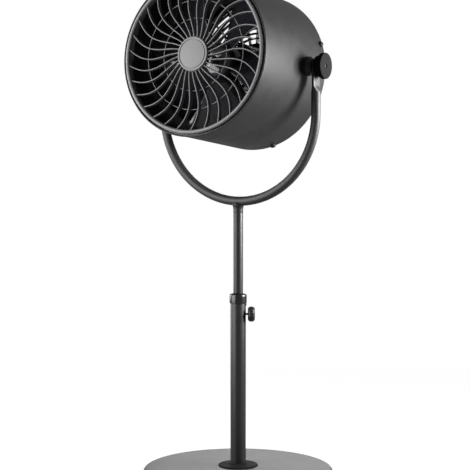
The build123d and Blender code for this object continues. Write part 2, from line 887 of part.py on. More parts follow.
def motor_bolt_ring(radius):
    """Sketch circles where the motor's long bolts pass."""
    with PolarLocations(motor_bolt_circle, motor_bolt_count, start_angle=motor_bolt_clocking):
        Circle(radius)


# Rear half of the motor's casing, a cup with an inner seat for its bush
with BuildPart() as motor_housing_rear:
    with BuildSketch(head_section):
        with BuildLine():
            Polyline(
                (0, motor_back),
                (motor_radius, motor_back),
                (motor_radius, motor_split),
                (motor_bore, motor_split),
                (motor_bore, motor_back + motor_wall),
                (motor_nose_radius, motor_back + motor_wall),
                (motor_nose_radius, rear_bush_front),
                (bush_shoulder, rear_bush_front),
                (bush_shoulder, motor_back + motor_wall),
                (0, motor_back + motor_wall),
                close=True,
            )
        make_face()
    revolve(axis=head_axis)
    with BuildSketch(head_plane.offset(motor_back)):
        motor_bolt_ring(motor_bolt_radius + fit_gap)
    extrude(amount=motor_wall, mode=Mode.SUBTRACT)
motor_housing_rear.part.label = "motor_housing_rear"
export_step(motor_housing_rear.part, "parts/motor_housing_rear.step")

# Front half, with the nose that holds the front bush
with BuildPart() as motor_housing_front:
    with BuildSketch(head_section):
        with BuildLine():
            Polyline(
                (bush_shoulder, motor_front - motor_wall),
                (bush_shoulder, nose_front),
                (motor_nose_radius, nose_front),
                (motor_nose_radius, motor_front),
                (motor_radius, motor_front),
                (motor_radius, motor_split),
                (motor_bore, motor_split),
                (motor_bore, motor_front - motor_wall),
                close=True,
            )
        make_face()
    revolve(axis=head_axis)
    front_edges = motor_housing_front.edges().filter_by(GeomType.CIRCLE)
    shoulder_edges = front_edges.filter_by(lambda edge: abs(edge.radius - motor_radius) < edge_match)
    fillet(shoulder_edges.sort_by(head_axis)[-1], motor_wall)
    with BuildSketch(head_plane.offset(motor_front)):
        motor_bolt_ring(motor_bolt_radius + fit_gap)
    extrude(amount=-motor_wall, mode=Mode.SUBTRACT)
motor_housing_front.part.label = "motor_housing_front"
export_step(motor_housing_front.part, "parts/motor_housing_front.step")

# Laminated stator ring, drilled for the bolts
with BuildPart() as stator_core:
    with BuildSketch(head_plane.offset(core_back)):
        Circle(motor_bore - fit_gap)
        Circle(rotor_core_radius + air_gap, mode=Mode.SUBTRACT)
    extrude(amount=core_length)
    with BuildSketch(head_plane.offset(core_back)):
        motor_bolt_ring(motor_bolt_radius + fit_gap)
    extrude(amount=core_length, mode=Mode.SUBTRACT)
stator_core.part.label = "stator_core"
export_step(stator_core.part, "parts/stator_core.step")

# End turns of the winding, one bundle on each face of the core
with BuildPart() as stator_coils:
    for coil_back in (core_back - fit_gap - coil_height, core_front + fit_gap):
        with BuildSketch(head_plane.offset(coil_back)):
            Circle(coil_outer)
            Circle(coil_inner, mode=Mode.SUBTRACT)
        extrude(amount=coil_height)
stator_coils.part.label = "stator_coils"
export_step(stator_coils.part, "parts/stator_coils.step")

with BuildPart() as front_bush:
    with BuildSketch(head_plane.offset(front_bush_back)):
        Circle(motor_bush_radius)
        Circle(shaft_radius + running_gap, mode=Mode.SUBTRACT)
    extrude(amount=motor_bush_length)
front_bush.part.label = "front_bush"
export_step(front_bush.part, "parts/front_bush.step")

with BuildPart() as rear_bush:
    with BuildSketch(head_plane.offset(motor_back + motor_wall + fit_gap)):
        Circle(motor_bush_radius)
        Circle(shaft_radius + running_gap, mode=Mode.SUBTRACT)
    extrude(amount=motor_bush_length - fit_gap)
rear_bush.part.label = "rear_bush"
export_step(rear_bush.part, "parts/rear_bush.step")

# Long bolts that clamp the casing to the rear guard's centre plate
bolt_head_front = motor_front + fit_gap
bolt_tip = rear_face - motor_nut_height - motor_bolt_proud
with BuildPart() as motor_bolts:
    with BuildSketch(head_plane.offset(bolt_tip)):
        motor_bolt_ring(motor_bolt_radius)
    extrude(amount=bolt_head_front - bolt_tip)
    with BuildSketch(head_plane.offset(bolt_head_front)):
        motor_bolt_ring(2 * motor_bolt_radius)
    extrude(amount=motor_bolt_radius)
motor_bolts.part.label = "motor_bolts"
export_step(motor_bolts.part, "parts/motor_bolts.step")

with BuildPart() as motor_nuts:
    with BuildSketch(head_plane.offset(rear_face - fit_gap)):
        with PolarLocations(motor_bolt_circle, motor_bolt_count, start_angle=motor_bolt_clocking):
            RegularPolygon(motor_nut_radius, 6)
            Circle(motor_bolt_radius + fit_gap, mode=Mode.SUBTRACT)
    extrude(amount=-motor_nut_height)
motor_nuts.part.label = "motor_nuts"
export_step(motor_nuts.part, "parts/motor_nuts.step")

# ---------------------------------------------------------------- rotor and fan

fan_back = nose_front + fan_stand
hub_shoulder = fan_back + fan_hub_depth
fan_front = hub_shoulder + fan_hub_dome
spinner_back = fan_front + fit_gap
shaft_back = motor_back + motor_wall + fit_gap + shaft_end_gap
shaft_front = spinner_back + spinner_grip

with BuildPart() as motor_shaft:
    with BuildSketch(head_plane.offset(shaft_back)):
        Circle(shaft_radius)
    extrude(amount=shaft_front - shaft_back)
motor_shaft.part.label = "motor_shaft"
export_step(motor_shaft.part, "parts/motor_shaft.step")

with BuildPart() as rotor_core:
    with BuildSketch(head_plane.offset(core_back)):
        Circle(rotor_core_radius)
        Circle(shaft_radius + fit_gap, mode=Mode.SUBTRACT)
    extrude(amount=core_length)
rotor_core.part.label = "rotor_core"
export_step(rotor_core.part, "parts/rotor_core.step")


def blade_plane(angle, radius):
    """Plane square to a blade's radial line, with its X along the turning direction."""
    turn = math.radians(angle)
    outward = head_plane.x_dir * math.cos(turn) + head_plane.y_dir * math.sin(turn)
    around = head_plane.y_dir * math.cos(turn) - head_plane.x_dir * math.sin(turn)
    middle = fan_back + fan_hub_depth / 2
    origin = pivot + head_forward * middle + outward * radius
    return Plane(origin=origin, x_dir=around, z_dir=outward)


def blade_section(chord, thickness, pitch):
    """Face of a curved blade section, turned to its pitch."""
    bow = chord * blade_camber
    with BuildSketch(Plane.XY, mode=Mode.PRIVATE) as section:
        with BuildLine():
            ThreePointArc((-chord / 2, 0), (0, bow), (chord / 2, 0))
            Line((chord / 2, 0), (chord / 2, thickness))
            ThreePointArc((chord / 2, thickness), (0, bow + thickness), (-chord / 2, thickness))
            Line((-chord / 2, thickness), (-chord / 2, 0))
        make_face()
    return section.sketch.rotate(Axis.Z, pitch)


# Domed hub with its shaft boss, and twisted blades trimmed to the tip circle
with BuildPart() as fan_blade:
    blade_root = fan_hub_radius - fan_hub_wall / 2
    blade_reach = blade_tip_radius + fan_hub_wall
    for k in range(blade_count):
        angle = blade_clocking + 360 * k / blade_count
        with BuildSketch(blade_plane(angle, blade_root)):
            add(blade_section(blade_root_chord, blade_root_thickness, blade_root_pitch))
        with BuildSketch(blade_plane(angle + blade_sweep, blade_reach)):
            add(blade_section(blade_tip_chord, blade_tip_thickness, blade_tip_pitch))
        loft()
    with BuildSketch(head_plane.offset(fan_back - blade_tip_chord / 2)):
        Circle(blade_tip_radius)
    extrude(amount=2 * blade_tip_chord, mode=Mode.INTERSECT)
    with BuildSketch(head_section):
        with BuildLine():
            inner_radius = fan_hub_radius - fan_hub_wall
            bore = shaft_radius + fit_gap
            Line((bore, fan_back), (fan_boss_radius, fan_back))
            Line((fan_boss_radius, fan_back), (fan_boss_radius, fan_front - 2 * fan_hub_wall))
            Line((fan_boss_radius, fan_front - 2 * fan_hub_wall), (inner_radius, hub_shoulder))
            Line((inner_radius, hub_shoulder), (inner_radius, fan_back))
            Line((inner_radius, fan_back), (fan_hub_radius, fan_back))
            Line((fan_hub_radius, fan_back), (fan_hub_radius, hub_shoulder))
            RadiusArc(
                (fan_hub_radius, hub_shoulder),
                (spinner_radius, fan_front),
                -fan_hub_dome_radius,
            )
            Polyline((spinner_radius, fan_front), (bore, fan_front), (bore, fan_back))
        make_face()
    revolve(axis=head_axis)
fan_blade.part.label = "fan_blade"
export_step(fan_blade.part, "parts/fan_blade.step")

# Rounded nut on the shaft's front end
with BuildPart() as spinner_nut:
    with BuildSketch(head_plane.offset(spinner_back)):
        Circle(spinner_radius)
    extrude(amount=spinner_length)
    fillet(spinner_nut.faces().sort_by(head_axis)[-1].edges(), spinner_round)
    with BuildSketch(head_plane.offset(spinner_back)):
        Circle(shaft_radius + fit_gap)
    extrude(amount=spinner_grip + fit_gap, mode=Mode.SUBTRACT)
spinner_nut.part.label = "spinner_nut"
export_step(spinner_nut.part, "parts/spinner_nut.step")

# ---------------------------------------------------------------- tilt pivot on each side

plate_inner = yoke_radius - plate_thickness / 2
plate_outer = yoke_radius + plate_thickness / 2
washer_inner = plate_inner - fit_gap - tilt_washer_thickness
boss_top = washer_inner - fit_gap
boss_seat = shell_radius - boss_seat_depth
rivet_tip = shell_radius + rivet_grip
knob_foot = plate_outer + body_gap
knob_shoulder = knob_foot + knob_skirt_length
knob_rim = knob_shoulder + knob_flare_length
knob_face = knob_foot + knob_depth
stud_outer = knob_face - knob_eye_depth
stud_inner = shell_bore - fit_gap - backing_thickness - stud_proud

for side_name, side in sides:
    axis_out = Axis(pivot, (side, 0, 0))
    plane_out = side_plane(side)

    # Plastic boss that stands on the drum, narrowing towards the yoke
    with BuildPart() as pivot_boss:
        with BuildSketch(side_section(side)):
            with BuildLine():
                bore = stud_radius + running_gap
                base_top = shell_radius + boss_base_length
                Polyline(
                    (bore, boss_seat),
                    (boss_base_radius, boss_seat),
                    (boss_base_radius, base_top),
                    (boss_neck_radius, base_top + boss_taper_length),
                    (boss_neck_radius, boss_top),
                    (bore, boss_top),
                    close=True,
                )
            make_face()
        revolve(axis=axis_out)
        with BuildSketch(head_plane.offset(-2 * boss_base_radius)):
            Circle(shell_radius + fit_gap)
        extrude(amount=4 * boss_base_radius, mode=Mode.SUBTRACT)
        with BuildSketch(plane_out):
            with GridLocations(0, rivet_spacing, 1, 2):
                Circle(rivet_radius + fit_gap)
        extrude(amount=rivet_tip + fit_gap, mode=Mode.SUBTRACT)
    pivot_boss.part.label = f"pivot_boss_{side_name}"
    export_step(pivot_boss.part, f"parts/pivot_boss_{side_name}.step")

    # Fibre washer between the boss and the yoke's flat end
    with BuildPart() as tilt_washer:
        with BuildSketch(plane_out.offset(washer_inner)):
            Circle(tilt_washer_radius)
            Circle(stud_radius + running_gap, mode=Mode.SUBTRACT)
        extrude(amount=tilt_washer_thickness)
    tilt_washer.part.label = f"tilt_washer_{side_name}"
    export_step(tilt_washer.part, f"parts/tilt_washer_{side_name}.step")

    # Curved steel pad inside the drum that the stud screws into
    with BuildPart() as backing_pad:
        pad_outer = shell_bore - fit_gap
        with BuildSketch(head_plane.offset(-backing_length / 2)):
            Circle(pad_outer)
            Circle(pad_outer - backing_thickness, mode=Mode.SUBTRACT)
        extrude(amount=backing_length)
        with BuildSketch(plane_out):
            Rectangle(backing_height, 2 * backing_length)
        extrude(amount=shell_radius, mode=Mode.INTERSECT)
        with BuildSketch(plane_out):
            Circle(stud_radius + running_gap)
            with GridLocations(0, rivet_spacing, 1, 2):
                Circle(rivet_radius + fit_gap)
        extrude(amount=shell_radius, mode=Mode.SUBTRACT)
    backing_pad.part.label = f"backing_pad_{side_name}"
    export_step(backing_pad.part, f"parts/backing_pad_{side_name}.step")

    # Steel stud through the yoke's flat end, the boss and the pad
    with BuildPart() as tilt_stud:
        with BuildSketch(plane_out.offset(stud_inner)):
            Circle(stud_radius)
        extrude(amount=stud_outer - stud_inner)
    tilt_stud.part.label = f"tilt_stud_{side_name}"
    export_step(tilt_stud.part, f"parts/tilt_stud_{side_name}.step")

    # Plastic knob moulded on the stud, with a notched rim and an eye in its face
    with BuildPart() as tilt_knob:
        with BuildSketch(side_section(side)):
            with BuildLine():
                bore = stud_radius + fit_gap
                Polyline(
                    (bore, knob_foot),
                    (knob_skirt_radius, knob_foot),
                    (knob_skirt_radius, knob_shoulder),
                    (knob_radius, knob_rim),
                    (knob_radius, knob_face),
                    (knob_eye_radius, knob_face),
                    (knob_eye_radius, stud_outer),
                    (bore, stud_outer),
                    close=True,
                )
            make_face()
        revolve(axis=axis_out)
        rim_edges = tilt_knob.edges().filter_by(GeomType.CIRCLE)
        face_edge = rim_edges.filter_by(lambda edge: abs(edge.radius - knob_radius) < edge_match)
        fillet(face_edge.sort_by(axis_out)[-1], knob_round)
        with BuildSketch(plane_out.offset(knob_shoulder)):
            with PolarLocations(knob_radius + knob_notch_radius / 4, knob_notch_count):
                Circle(knob_notch_radius)
        extrude(amount=knob_face - knob_shoulder - knob_round, mode=Mode.SUBTRACT)
    tilt_knob.part.label = f"tilt_knob_{side_name}"
    export_step(tilt_knob.part, f"parts/tilt_knob_{side_name}.step")

# Rivets that hold both bosses to the drum through the pads
with BuildPart() as boss_rivets:
    head_seat = shell_bore - fit_gap - backing_thickness - fit_gap
    for side_name, side in sides:
        with BuildSketch(side_plane(side).offset(head_seat)):
            with GridLocations(0, rivet_spacing, 1, 2):
                Circle(rivet_radius)
        extrude(amount=rivet_tip - head_seat)
        with BuildSketch(side_plane(side).offset(head_seat)):
            with GridLocations(0, rivet_spacing, 1, 2):
                Circle(rivet_head_radius)
        extrude(amount=-rivet_head_height, taper=screw_head_taper)
boss_rivets.part.label = "boss_rivets"
export_step(boss_rivets.part, "parts/boss_rivets.step")

# ---------------------------------------------------------------- controls on the back

box_front = rear_face - fit_gap
box_back = box_front - box_depth
box_floor = box_back + box_wall
dial_front = box_back - body_gap
spindle_front = box_floor + spindle_engagement
gland_plane = Plane(
    origin=pivot + head_forward * (box_front - gland_set_back),
    x_dir=(1, 0, 0),
    z_dir=head_plane.y_dir * -1,
)

# Round box behind the centre plate, with pillars for its two screws
with BuildPart() as control_box:
    with BuildSketch(head_plane.offset(box_back)):
        Circle(box_radius)
    extrude(amount=box_depth)
    fillet(control_box.faces().sort_by(head_axis)[0].edges(), box_round)
    with BuildSketch(head_plane.offset(box_floor)):
        Circle(box_radius - box_wall)
    extrude(amount=box_depth, mode=Mode.SUBTRACT)
    with BuildSketch(head_plane.offset(box_floor)):
        with PolarLocations(box_screw_circle, 2):
            Circle(box_pillar_radius)
    extrude(amount=box_front - box_floor)
    with BuildSketch(head_plane.offset(box_back)):
        with PolarLocations(box_screw_circle, 2):
            Circle(box_screw_radius + fit_gap)
        Circle(spindle_radius + running_gap)
    extrude(amount=box_depth, mode=Mode.SUBTRACT)
    with BuildSketch(gland_plane):
        Circle(gland_radius + fit_gap)
    extrude(amount=box_radius, mode=Mode.SUBTRACT)
control_box.part.label = "control_box"
export_step(control_box.part, "parts/control_box.step")

with BuildPart() as box_screws:
    with BuildSketch(head_plane.offset(box_back - fit_gap)):
        with PolarLocations(box_screw_circle, 2):
            Circle(box_screw_radius)
    extrude(amount=box_depth + centre_plate_thickness)
    with BuildSketch(head_plane.offset(box_back - fit_gap)):
        with PolarLocations(box_screw_circle, 2):
            Circle(box_screw_head_radius)
    extrude(amount=-box_screw_head_height, taper=screw_head_taper)
box_screws.part.label = "box_screws"
export_step(box_screws.part, "parts/box_screws.step")

# Rotary speed switch on the box's floor
with BuildPart() as speed_switch:
    with BuildSketch(head_plane.offset(box_floor + fit_gap)):
        RectangleRounded(switch_width, switch_width, box_wall)
        Circle(spindle_radius + running_gap, mode=Mode.SUBTRACT)
    extrude(amount=switch_depth)
speed_switch.part.label = "speed_switch"
export_step(speed_switch.part, "parts/speed_switch.step")

with BuildPart() as switch_spindle:
    with BuildSketch(head_plane.offset(dial_front - dial_grip)):
        Circle(spindle_radius)
    extrude(amount=spindle_front - dial_front + dial_grip)
switch_spindle.part.label = "switch_spindle"
export_step(switch_spindle.part, "parts/switch_spindle.step")

# Dial with a raised grip bar across it
with BuildPart() as speed_dial:
    with BuildSketch(head_plane.offset(dial_front)):
        Circle(dial_radius)
    extrude(amount=-dial_depth / 2)
    with BuildSketch(head_plane.offset(dial_front - dial_depth / 2)):
        SlotOverall(2 * (dial_radius - dial_notch_radius), dial_radius / 2, rotation=90)
    extrude(amount=-dial_depth / 2, taper=dial_bar_taper)
    with BuildSketch(head_plane.offset(dial_front)):
        with PolarLocations(dial_radius + dial_notch_radius / 4, dial_notch_count):
            Circle(dial_notch_radius)
    extrude(amount=-dial_depth / 2, mode=Mode.SUBTRACT)
    with BuildSketch(head_plane.offset(dial_front)):
        Circle(spindle_radius + fit_gap)
    extrude(amount=-dial_grip - fit_gap, mode=Mode.SUBTRACT)
speed_dial.part.label = "speed_dial"
export_step(speed_dial.part, "parts/speed_dial.step")

# Motor capacitor on the back of the centre plate
with BuildPart() as capacitor:
    with BuildSketch(head_plane.offset(rear_face - fit_gap)):
        with Locations((0, capacitor_rise)):
            RectangleRounded(capacitor_length, capacitor_width, box_wall)
    extrude(amount=-capacitor_depth)
capacitor.part.label = "capacitor"
export_step(capacitor.part, "parts/capacitor.step")

# Gland in the box's lower side where the supply cord would enter
with BuildPart() as cord_gland:
    with BuildSketch(gland_plane.offset(box_radius - box_wall - gland_inside)):
        Circle(gland_radius)
    extrude(amount=gland_length)
    with BuildSketch(gland_plane.offset(box_radius + fit_gap)):
        Circle(gland_flange_radius)
    extrude(amount=gland_flange_thickness)
    with BuildSketch(gland_plane):
        Circle(gland_bore)
    extrude(amount=2 * box_radius, mode=Mode.SUBTRACT)
cord_gland.part.label = "cord_gland"
export_step(cord_gland.part, "parts/cord_gland.step")

print(f"pivot {pivot_level:.1f}, yoke centre {yoke_centre:.1f}, clamp {clamp_level:.1f}")
print(f"rear face {rear_face:.1f}, motor {motor_back:.1f} to {motor_front:.1f}, fan {fan_back:.1f}")
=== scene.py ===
import json
import math

import bmesh
import bpy
from mathutils import Matrix, Vector


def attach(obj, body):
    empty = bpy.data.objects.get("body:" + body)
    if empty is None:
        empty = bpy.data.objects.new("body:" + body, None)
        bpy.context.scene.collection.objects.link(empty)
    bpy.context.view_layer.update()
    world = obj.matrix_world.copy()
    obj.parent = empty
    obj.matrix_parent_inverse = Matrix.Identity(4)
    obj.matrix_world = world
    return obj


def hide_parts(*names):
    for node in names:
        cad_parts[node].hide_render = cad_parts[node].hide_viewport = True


# Air circulator fan on a telescopic pole. Lengths in the pieces' own spaces are millimetres.
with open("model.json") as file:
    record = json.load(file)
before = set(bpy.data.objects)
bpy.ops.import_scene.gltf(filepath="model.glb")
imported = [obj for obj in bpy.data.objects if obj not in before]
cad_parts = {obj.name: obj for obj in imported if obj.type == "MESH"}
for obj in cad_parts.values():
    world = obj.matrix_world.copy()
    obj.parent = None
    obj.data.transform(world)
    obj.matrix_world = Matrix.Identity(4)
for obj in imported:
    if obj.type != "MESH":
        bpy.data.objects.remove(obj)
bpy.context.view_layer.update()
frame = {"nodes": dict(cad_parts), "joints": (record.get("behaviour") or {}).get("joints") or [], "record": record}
joints = {joint["name"]: joint for joint in frame["joints"]}
print("frame loaded:", len(frame["nodes"]), "nodes")

metre = 1000
metreInMicrons = 1000000
fullTurn = 2 * math.pi
fitGap = 0.1  # between pieces that are fitted together
mergeDistance = 0.0005  # what lies closer than this is one point

# edge roundings that many pieces share
hairRound = 0.2
fineRound = 0.3
smallRound = 0.4
plainRound = 0.5
softRound = 0.6
fullRound = 0.8


def axisFrame(origin, outward, across):
    # a millimetre space whose Z runs outward and whose X runs across
    zAxis = Vector(outward).normalized()
    yAxis = zAxis.cross(Vector(across)).normalized()
    xAxis = yAxis.cross(zAxis)
    turned = Matrix((xAxis, yAxis, zAxis)).transposed().to_4x4()
    return Matrix.Translation(origin) @ turned @ Matrix.Scale(1 / metre, 4)


pivot = Vector(joints["tilt"]["pos_m"])
forward = Vector(joints["fan_spin"]["axis"])
clampAxis = Vector(joints["clamp_turn"]["axis"])
rightward = Vector((1, 0, 0))
upward = Vector((0, 0, 1))
backward = Vector((0, 1, 0))
headUp = forward.cross(rightward)
standPlace = axisFrame((0, 0, 0), upward, rightward)
headPlace = axisFrame(pivot, forward, rightward)
backPlace = axisFrame(pivot, -forward, -rightward)
clampPlace = axisFrame(joints["clamp_turn"]["pos_m"], clampAxis, upward)
sidePlaces = {
    "right": axisFrame(pivot, rightward, -forward),
    "left": axisFrame(pivot, -rightward, forward),
}


def linked(name, data):
    # a new object in the scene
    thing = bpy.data.objects.new(name, data)
    bpy.context.scene.collection.objects.link(thing)
    return thing


def meshOf(bm, name):
    mesh = bpy.data.meshes.new(name)
    bm.to_mesh(mesh)
    bm.free()
    return mesh


def evaluated(thing):
    # a bmesh of an object with its modifiers or its text worked out
    shape = bpy.data.meshes.new_from_object(thing.evaluated_get(bpy.context.evaluated_depsgraph_get()))
    bm = bmesh.new()
    bm.from_mesh(shape)
    bpy.data.meshes.remove(shape)
    return bm


def vertsIn(geom):
    return [part for part in geom if isinstance(part, bmesh.types.BMVert)]


def edgesAmong(bm, verts):
    return [edge for edge in bm.edges if all(vert in verts for vert in edge.verts)]


def rounded(bm, geom, offset, segments, affect="EDGES"):
    bmesh.ops.bevel(bm, geom=geom, offset=offset, offset_type="OFFSET", segments=segments,
                    profile=0.5, affect=affect, material=-1)


def placed(bm, place):
    bmesh.ops.transform(bm, matrix=place, verts=bm.verts)
    return bm


def moved(bm, x=0.0, y=0.0, z=0.0, turn=0.0, axis="Z"):
    # turned about the origin, then shifted
    return placed(bm, Matrix.Translation((x, y, z)) @ Matrix.Rotation(math.radians(turn), 4, axis))


def lathe(points, steps=96, arcSteps=4, closed=True):
    # points are (radius, height) or (radius, height, rounding)
    bm = bmesh.new()
    corners = [bm.verts.new((point[0], 0, point[1])) for point in points]
    pairs = list(zip(corners, corners[1:]))
    if closed:
        pairs.append((corners[-1], corners[0]))
    for pair in pairs:
        bm.edges.new(pair)
    for corner, point in zip(corners, points):
        if len(point) > 2:
            rounded(bm, [corner], point[2], arcSteps, affect="VERTICES")
    bmesh.ops.spin(bm, geom=bm.verts[:] + bm.edges[:], cent=(0, 0, 0), axis=(0, 0, 1),
                   angle=fullTurn, steps=steps, use_merge=True)
    bmesh.ops.remove_doubles(bm, verts=bm.verts, dist=mergeDistance)
    bmesh.ops.recalc_face_normals(bm, faces=bm.faces)
    return bm


def block(length, width, height, rounding=0.0, arcSteps=2):
    # a box with soft edges, centred in X and Y and standing on Z 0
    bm = bmesh.new()
    bmesh.ops.create_cube(bm, size=1)
    placed(bm, Matrix.Translation((0, 0, height / 2)) @ Matrix.Diagonal((length, width, height, 1)))
    if rounding:
        rounded(bm, bm.edges[:], rounding, arcSteps)
    return bm


def ringOf(bm, count):
    # copies all round the axis
    bmesh.ops.spin(bm, geom=bm.verts[:] + bm.edges[:] + bm.faces[:], cent=(0, 0, 0), axis=(0, 0, 1),
                   angle=fullTurn * (count - 1) / count, steps=count - 1, use_duplicate=True)
    return bm


def joined(*parts):
    # one bmesh out of several
    whole = bmesh.new()
    for part in parts:
        carrier = meshOf(part, "carrier")
        whole.from_mesh(carrier)
        bpy.data.meshes.remove(carrier)
    return whole


def carved(bm, cutter):
    # bm less the cutter's space
    shapes = []
    for name, part in (("blank", bm), ("cutter", cutter)):
        bmesh.ops.recalc_face_normals(part, faces=part.faces)
        shapes.append(linked(name, meshOf(part, name)))
    blank, tool = shapes
    cut = blank.modifiers.new("cut", "BOOLEAN")
    cut.operation = "DIFFERENCE"
    cut.solver = "EXACT"
    cut.object = tool
    result = evaluated(blank)
    for shape in shapes:
        mesh = shape.data
        bpy.data.objects.remove(shape)
        bpy.data.meshes.remove(mesh)
    return result


def notched(bm, innermost, count, depth):
    # moulded grooves round a rim, in whatever lies beyond the innermost radius
    for vert in bm.verts:
        radius = math.hypot(vert.co.x, vert.co.y)
        if radius > innermost:
            wave = math.cos(count * math.atan2(vert.co.y, vert.co.x))
            dip = depth * max(0.0, wave) ** 2
            vert.co.x *= 1 - dip / radius
            vert.co.y *= 1 - dip / radius
    return bm


def threaded(radius, start, end, pitch, depth, rootShare=0.1, crestShare=0.5):
    # the profile of a screw thread as shallow ridges, with its root and crest at shares of the pitch
    points = []
    level = start
    while level < end - pitch / 2:
        points += [(radius - depth, level + rootShare * pitch), (radius, level + crestShare * pitch)]
        level += pitch
    return points + [(radius - depth, end)]


panHead = {
    # shares of the head's radius or height, and of the shank's radius
    "brimHeight": 0.4, "crownRadius": 0.72, "crownRound": 0.22, "tipRadius": 0.7,
    "recessLength": 1.15, "recessWidth": 0.24, "recessFloor": 0.4,
    # millimetres
    "tipLength": 1.0, "seatDepth": 0.2, "seatRound": 0.15, "brimRound": 0.25,
}


def panScrew(headRadius, headHeight, shankRadius, shankLength):
    # a domed head on Z 0 with a cross recess, and its shank below
    seat = -panHead["seatDepth"]
    screw = lathe([
        (0, -shankLength), (shankRadius * panHead["tipRadius"], -shankLength, hairRound),
        (shankRadius, -shankLength + panHead["tipLength"], hairRound),
        (shankRadius, seat), (headRadius, seat, panHead["seatRound"]),
        (headRadius, headHeight * panHead["brimHeight"], panHead["brimRound"]),
        (headRadius * panHead["crownRadius"], headHeight, headRadius * panHead["crownRound"]),
        (0, headHeight),
    ], steps=40, arcSteps=3, closed=False)
    for turn in (0, 90):
        slot = block(headRadius * panHead["recessLength"], headRadius * panHead["recessWidth"], headHeight)
        screw = carved(screw, moved(slot, z=headHeight * panHead["recessFloor"], turn=turn))
    return screw


def finishPiece(name, bm, place, finish, body, nodes=(), crease=32):
    placed(bm, place)
    for face in bm.faces:
        face.smooth = True
    for edge in bm.edges:
        edge.smooth = edge.calc_face_angle(0) < math.radians(crease)
    mesh = meshOf(bm, name)
    mesh.materials.append(finishes[finish])
    piece = linked(name, mesh)
    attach(piece, body)
    if nodes:
        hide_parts(*nodes)
    return piece


paintNoise = {
    # how fine the patches are, and the part of their noise over which the gloss varies
    "blotch": 24.0, "blotchDetail": 4, "grainDetail": 2, "glossFrom": 0.3, "glossTo": 0.7,
    "coatRoughness": 0.12,
}


def finishOf(name, colour, roughness, spread=0.05, mottle=0.06, grain=900, depth=40,
             metal=0.0, specular=0.5, coat=0.0):
    # mottled colour, uneven gloss and a fine grain in the fan's own space; depth is in micrometres
    material = bpy.data.materials.new(name)
    material.use_nodes = True
    tree = material.node_tree
    shader = tree.nodes["Principled BSDF"]
    shader.inputs["Metallic"].default_value = metal
    shader.inputs["Specular IOR Level"].default_value = specular
    shader.inputs["Coat Weight"].default_value = coat
    shader.inputs["Coat Roughness"].default_value = paintNoise["coatRoughness"]
    coords = tree.nodes.new("ShaderNodeTexCoord")

    def noise(scale, detail):
        node = tree.nodes.new("ShaderNodeTexNoise")
        node.inputs["Scale"].default_value = scale
        node.inputs["Detail"].default_value = detail
        tree.links.new(coords.outputs["Object"], node.inputs["Vector"])
        return node.outputs["Fac"]

    patches = noise(paintNoise["blotch"], paintNoise["blotchDetail"])
    tint = tree.nodes.new("ShaderNodeMix")
    tint.data_type = "RGBA"
    tint.inputs["A"].default_value = [channel * (1 - mottle) for channel in colour] + [1]
    tint.inputs["B"].default_value = [channel * (1 + mottle) for channel in colour] + [1]
    tree.links.new(patches, tint.inputs["Factor"])
    tree.links.new(tint.outputs["Result"], shader.inputs["Base Color"])
    gloss = tree.nodes.new("ShaderNodeMapRange")
    gloss.inputs["From Min"].default_value = paintNoise["glossFrom"]
    gloss.inputs["From Max"].default_value = paintNoise["glossTo"]
    gloss.inputs["To Min"].default_value = roughness - spread
    gloss.inputs["To Max"].default_value = roughness + spread
    tree.links.new(patches, gloss.inputs["Value"])
    tree.links.new(gloss.outputs["Result"], shader.inputs["Roughness"])
    if depth:
        bump = tree.nodes.new("ShaderNodeBump")
        bump.inputs["Distance"].default_value = depth / metreInMicrons
        tree.links.new(noise(grain, paintNoise["grainDetail"]), bump.inputs["Height"])
        tree.links.new(bump.outputs["Normal"], shader.inputs["Normal"])
    return material


def grey(level, blueness=1.02):
    return (level, level, level * blueness)


